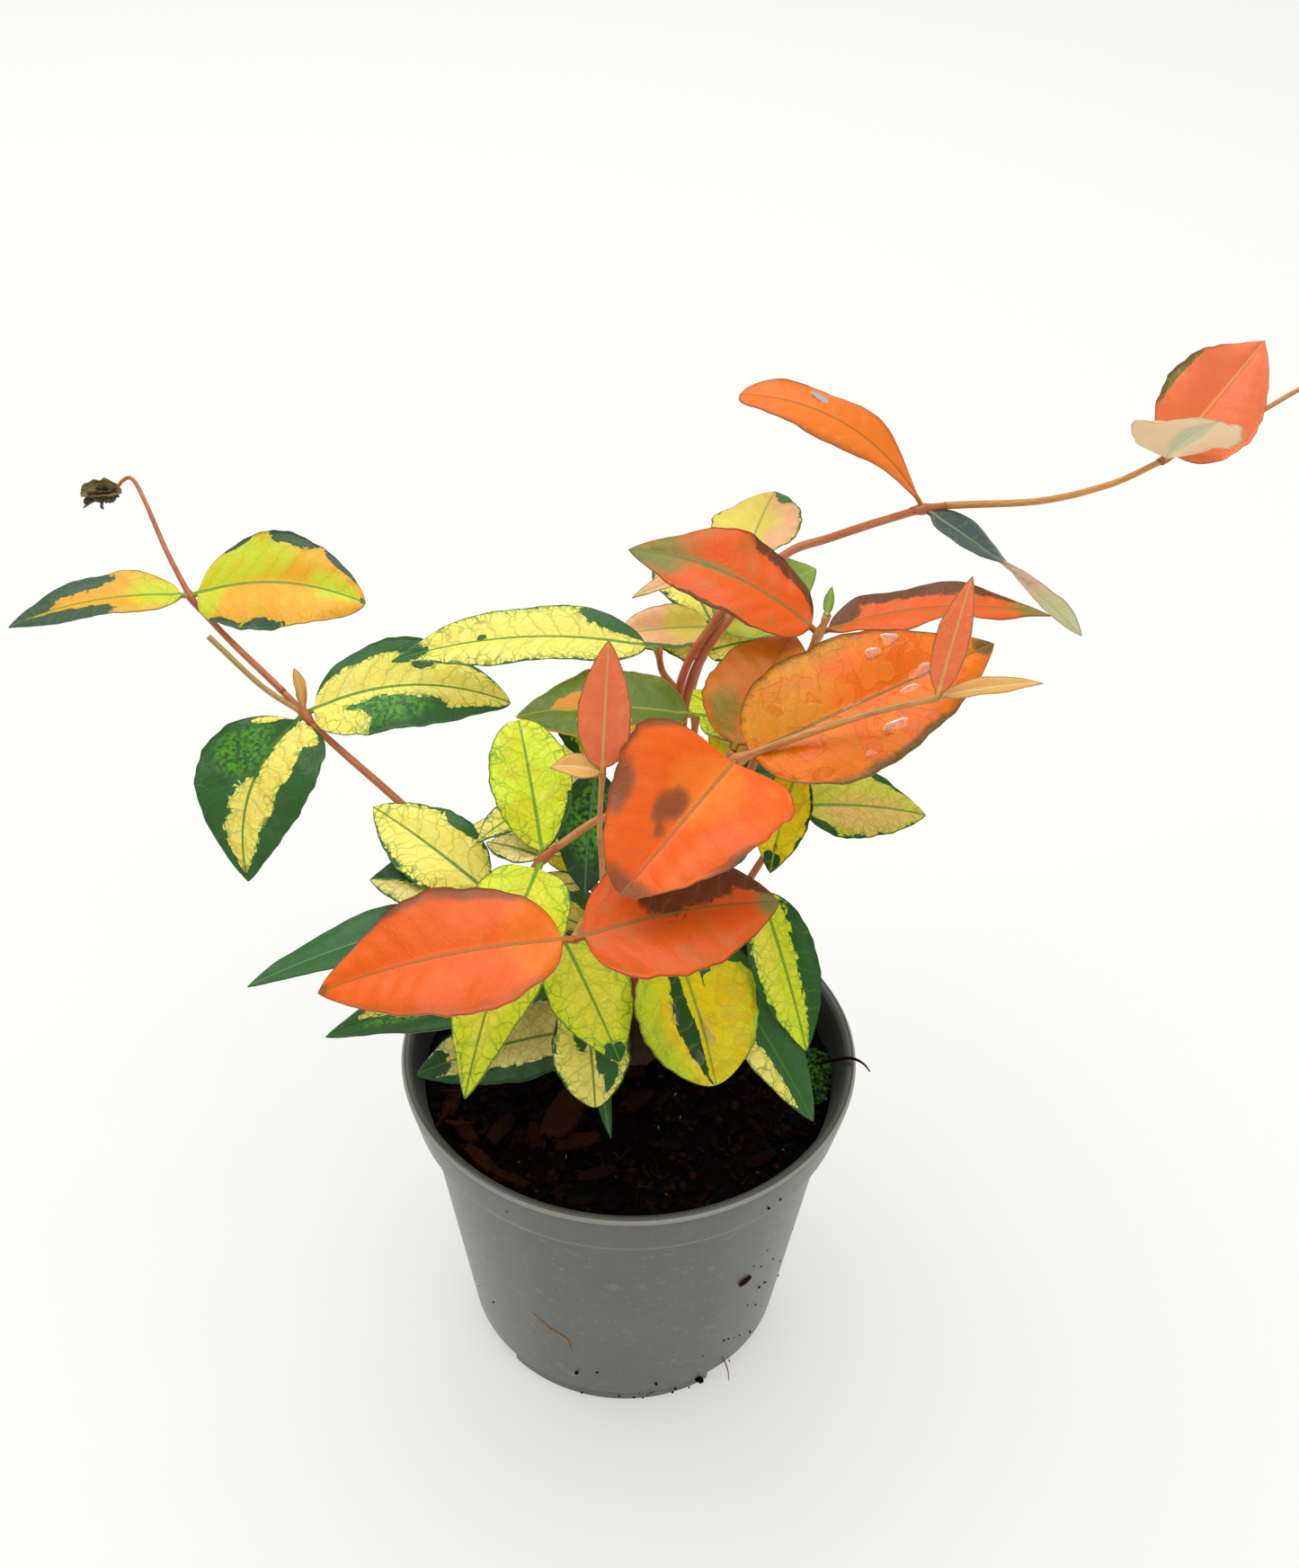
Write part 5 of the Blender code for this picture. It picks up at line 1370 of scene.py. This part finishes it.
def make_loose_top(made, moss):
    """Crumbs, bark chips, curled strips and fibres on the mix, and a cushion of moss by the rim."""
    draw = random.Random(SEED)
    bits = Bits()
    small = ball(1)
    edge = inner_radius(SOIL_EDGE_HEIGHT)

    def spot(limit):
        while True:
            x, y = draw.uniform(-limit, limit), draw.uniform(-limit, limit)
            if math.hypot(x, y) < limit and math.hypot(x - TRUNK_AT[0], y - TRUNK_AT[1]) > BARE_ROUND_TRUNK:
                return x, y

    # Crumbs and small chips keep low tones, dark as painted shade under the foliage.
    for _ in range(CRUMBS):
        x, y = spot(edge - 1.4)
        size = draw.uniform(0.35, 1.1)
        lump(bits, small, Vector((x, y, mix_height(x, y) + 0.2)), (size * 1.4, size, size * 0.7), draw,
             0.6 * draw.random() ** 3)
    for _ in range(SMALL_CHIPS):
        length = draw.uniform(1.0, 3.4)
        x, y = spot(edge - length - 0.6)
        chip(bits, Vector((x, y, mix_height(x, y) + 0.3)), 2 * length, length * draw.uniform(0.4, 0.8), draw,
             draw.uniform(0.0, 0.25))
    for x, y, length, width, tone, turn in BARK_CHIPS:
        chip(bits, Vector((x, y, mix_height(x, y) + 0.9)), length, width, draw, tone, math.radians(turn))
    for _ in range(FIBRES):
        x, y = spot(edge - 5)
        turn = draw.uniform(0, 2 * math.pi)
        length = draw.uniform(3, 8)
        curl = draw.uniform(-0.5, 0.5)
        route = []
        for number in range(9):
            t = number / 8 * length
            a = turn + curl * t / 2
            px, py = x + t * math.cos(a) * 0.6, y + t * math.sin(a) * 0.6
            route.append(Vector((px, py, mix_height(px, py) + 0.5 + 0.5 * math.sin(number))))
        strand(bits, route, draw.uniform(0.12, 0.3), draw.uniform(0.4, 1.0))
    for x, y, turn, length, curl in CURLED_STRIPS:
        route = []
        for number in range(15):
            t = number / 14
            a = turn + curl * t
            route.append(Vector((x + length * t * math.cos(a), y + length * t * math.sin(a),
                                 mix_height(x, y) + 0.8 + 2.4 * math.sin(math.pi * t))))
        strand(bits, route, 0.55, 1.0, 8)
    top = bits.piece("mix_loose_top", made)
    dress(top, "damp_mix")

    tufts = Bits()
    for _ in range(MOSS_THREADS):
        angle, reach = draw.uniform(0, 2 * math.pi), math.sqrt(draw.random())
        x = MOSS_AT[0] + MOSS_HALF_SIZE[0] * reach * math.cos(angle)
        y = MOSS_AT[1] + MOSS_HALF_SIZE[1] * reach * math.sin(angle)
        if math.hypot(x, y) > edge - 0.8:
            continue
        foot = Vector((x, y, mix_height(x, y) + MOSS_HEIGHT * (1 - reach ** 2)))
        lean = Vector((draw.gauss(0, 0.5), draw.gauss(0, 0.5), 1)).normalized()
        strand(tufts, [foot + lean * step * 0.45 for step in range(4)], 0.3, 0.5, 4)
    for _ in range(STRAY_SHOOTS):
        x, y = spot(edge - 3)
        foot = Vector((x, y, mix_height(x, y) + 0.3))
        lean = Vector((draw.gauss(0, 0.8), draw.gauss(0, 0.8), 1)).normalized()
        strand(tufts, [foot + lean * step * 0.4 for step in range(4)], 0.25, 0.5, 4)
    clump = tufts.piece("moss_clump", moss)
    dress(clump, "green_leaves")


def make_trunk(made):
    """The woody trunk with its root flare and cracked bark."""
    foot = SOIL_EDGE_HEIGHT + SOIL_CROWN + GAP
    shape = bmesh.new()
    rings = []
    rows, sides = TRUNK_ROWS, TRUNK_SIDES
    for level in range(rows + 1):
        share = level / rows
        radius = float(np.interp(share, *TRUNK_FORM))
        ring = []
        for side in range(sides):
            angle = 2 * math.pi * side / sides
            spot = Vector((math.cos(angle) * 3, math.sin(angle) * 3, share * 3))
            lobed = radius * (1 + 0.12 * (1 - share) * math.cos(4 * angle)) - 0.35 + 0.3 * noise.noise(spot)
            ring.append(shape.verts.new(Vector((TRUNK_AT[0] + lobed * math.cos(angle) + TRUNK_LEAN * share,
                                                TRUNK_AT[1] + lobed * math.sin(angle),
                                                foot + TRUNK_HEIGHT * share)) * MM))
        rings.append(ring)
    for low, high in zip(rings, rings[1:]):
        for side in range(sides):
            after = (side + 1) % sides
            shape.faces.new((low[side], low[after], high[after], high[side]))
    shape.faces.new(list(reversed(rings[0])))
    shape.faces.new(rings[-1])
    trunk = object_of("trunk_bark", shape, made)
    dress(trunk, "bark", "trunk")


def dry_flap(bits, start, way, lift, length, curl, seed, tone):
    """A dead leaf rolled up along its length, creased and closed on both faces."""
    across = way.cross(lift).normalized()
    lift = across.cross(way)
    rows, columns = 19, 17
    points = []
    for thick in (-0.16, 0.16):
        for row in range(rows):
            s = row / (rows - 1)
            wide = 0.34 * length * math.sin(math.pi * (0.08 + 0.86 * s)) ** 0.7
            for column in range(columns):
                turn = curl * (column / (columns - 1) - 0.5)
                crease = noise.noise(Vector((s * 5 + seed, turn * 1.5, seed)))
                reach = wide / curl * 2 * (1 + 0.4 * crease) + thick
                rise = reach * (1 - math.cos(turn)) - thick + 1.2 * math.sin(2.6 * s)
                aside = reach * math.sin(turn)
                points.append(tuple(start + way * (length * s + 0.7 * crease) + across * aside + lift * rise))
    bits.take(points, sheet_faces(rows, columns), tone)


def make_withered_tip(made):
    """The shrivelled brown shoot tip: a crumpled knot of dead leaf."""
    points, faces = ball(4)
    centre = raised([WITHERED_AT])[0] + Vector((-3.8, -0.8, -1))
    bits = Bits()
    shaped = []
    for point in points:
        crease = 1 - 0.7 * abs(noise.noise(point * 1.6 + Vector((4, 1, 7))))
        crease -= 0.35 * abs(noise.noise(point * 3.4))
        shaped.append(tuple(centre + Vector((point.x * 3.6, point.y * 2.4, point.z * 2.6)) * crease))
    bits.take(shaped, faces, 0.0)
    for number, (start, way, lift, length, curl) in enumerate(WITHERED_FLAPS):
        dry_flap(bits, centre + Vector(start), Vector(way).normalized(), Vector(lift).normalized(), length,
                 curl, number * 3.7, 0.9 if number == 0 else 0.15)
    tip = bits.piece("withered_tip", made)
    dress(tip, "bark")


def make_drops(drops, made):
    """Water drops: low domes with uneven outlines, each seated on its leaf."""
    bits = Bits()
    points, faces = ball(4)
    for spot, along, across, up, long_mm, wide_mm, seed in drops:
        shift = Vector((seed * 50, seed * 31, 0))
        shaped = []
        for point in points:
            grown = 1 + 0.22 * noise.noise(point * 1.1 + shift)
            lift = point.z * (0.13 if point.z > 0 else 0.06) * min(long_mm, wide_mm) / 2
            shaped.append(tuple(np.array(spot) + np.array(along) * point.x * long_mm / 2 * grown
                                + np.array(across) * point.y * wide_mm / 2 * grown + np.array(up) * lift))
        bits.take(shaped, faces, 0.5)
    water = bits.piece("water_drops", made)
    dress(water, "orange_leaves")


def make_pot_litter(made):
    """Bits that cling to the pot: root threads, a pale fibre, specks of mix and a twig over the rim."""
    bits = Bits()
    draw = random.Random(SEED + 1)
    for radius, tone, knots in POT_THREADS:
        route = smooth_route([on_pot(angle, height, radius * 0.6) for angle, height in knots], 0.8)
        strand(bits, route, radius, tone)
    fallen = [on_pot(-50.7, 8.6, 0.1), Vector((26.2, -29.0, 1.6)), Vector((26.5, -31.1, 0.5))]
    strand(bits, smooth_route(fallen, 0.6), 0.22, 1.5)
    strand(bits, smooth_route(RIM_TWIG, 0.8), 0.4, 0.25)
    unit = ball(2)
    for angle, height, size, tone in POT_SPECKS:
        lump(bits, unit, on_pot(angle, height, 0.05), (size, size * 0.8, size * 0.6), draw, tone)
    for _ in range(LOOSE_SPECKS):
        height = 6 + 66 * draw.random() ** 0.8
        size = draw.uniform(0.08, 0.22)
        lump(bits, unit, on_pot(draw.uniform(-180, 180), height, 0), (size, size, size), draw,
             draw.choice((0.0, 0.6, 1.8)))
    for turn, spread, low, high, count in SPECK_CLUSTERS:
        for _ in range(count):
            size = draw.uniform(0.14, 0.42)
            place = on_pot(draw.gauss(turn, spread), draw.uniform(low, high), 0)
            lump(bits, unit, place, (size, size * 0.8, size * 0.7), draw, draw.choice((0.0, 0.3, 0.8)))
    litter = bits.piece("pot_litter", made)
    dress(litter, "damp_mix")


def on_pot(angle, height, out):
    """A point on the pot's outer face, or this far outside it."""
    turn = math.radians(angle)
    reach = (body_radius(height) if height < POT_HEIGHT - COLLAR_HEIGHT - 1 else RIM_RADIUS - 1.6) + out
    return Vector((reach * math.cos(turn), reach * math.sin(turn), height))


def body_radius(height):
    """The pot's outer radius at this height on its tapered body."""
    share = (height - FOOT_HEIGHT) / (POT_HEIGHT - COLLAR_HEIGHT - FOOT_HEIGHT)
    return BODY_FOOT_RADIUS + share * (BODY_TOP_RADIUS - BODY_FOOT_RADIUS)


def make_camera():
    """The photograph's camera: in front of the plant and above it, tipped down and rolled slightly."""
    pitch, roll = math.radians(CAMERA_PITCH), math.radians(CAMERA_ROLL)
    ahead = Vector((0, math.cos(pitch), -math.sin(pitch)))
    level_right = Vector((1, 0, 0))
    level_up = level_right.cross(ahead)
    right = level_right * math.cos(roll) + level_up * math.sin(roll)
    up = level_up * math.cos(roll) - level_right * math.sin(roll)
    data = bpy.data.cameras.new("photo_camera")
    data.sensor_width = SENSOR
    data.lens = FOCAL_LENGTH / PHOTO_HEIGHT * SENSOR
    data.clip_start = 0.02
    camera = placed("photo_camera", data)
    camera.matrix_world = Matrix((right, up, -ahead)).transposed().to_4x4()
    camera.location = Vector(CAMERA_AT) * MM
    bpy.context.scene.camera = camera


def make_studio():
    """A pale floor, an even pale surround and two large soft lights."""
    shape = bmesh.new()
    bmesh.ops.create_grid(shape, x_segments=8, y_segments=8, size=FLOOR_HALF_SIZE)
    floor = object_of("floor", shape, floor_material())
    floor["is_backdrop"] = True
    world = bpy.data.worlds.new("studio")
    world.use_nodes = True
    world.node_tree.nodes["Background"].inputs["Color"].default_value = (1, 1, 1, 1)
    world.node_tree.nodes["Background"].inputs["Strength"].default_value = SURROUND_STRENGTH
    bpy.context.scene.world = world
    for name, place, size, power in LIGHTS:
        data = bpy.data.lights.new(name, "AREA")
        data.shape = "SQUARE"
        data.size = size
        data.energy = power
        light = placed(name, data)
        light.location = place
        light.rotation_euler = (Vector(LIGHTS_AIM) - Vector(place)).to_track_quat("-Z", "Y").to_euler()
    # The plain transform shows the leaves' own colours on a nearly white floor.
    bpy.context.scene.view_settings.view_transform = "Standard"


def main():
    make_camera()
    make_studio()
    leaf_skin, stem_skin = leaf_material(), stem_material()
    mix_skin, moss_skin = mix_material(), moss_material()
    make_pot(plastic_material())
    make_mix(mix_skin)
    make_loose_top(mix_skin, moss_skin)
    make_pot_litter(mix_skin)
    make_trunk(bark_material())
    make_withered_tip(withered_material())
    boughs = Growth()
    for number, (name, (first, last, points)) in enumerate(BOUGHS.items()):
        grow_stem(boughs, raised(points), (first, last), STEM_TONES.get(name, (0.1, 0.4)), number + 1)
    stems = boughs.piece("boughs_bark", [stem_skin, stem_skin])
    dress(stems, "young_bark", *BOUGHS)
    drops = []
    skins = [leaf_skin, stem_skin]
    for name, plan in SHOOTS.items():
        grown_shoot(name, plan, drops, skins)
    for name, rule in HIDDEN_SHOOTS.items():
        grown_shoot(name, hidden_plan(name, rule), drops, skins)
    make_drops(drops, water_material())


main()
low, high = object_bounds()
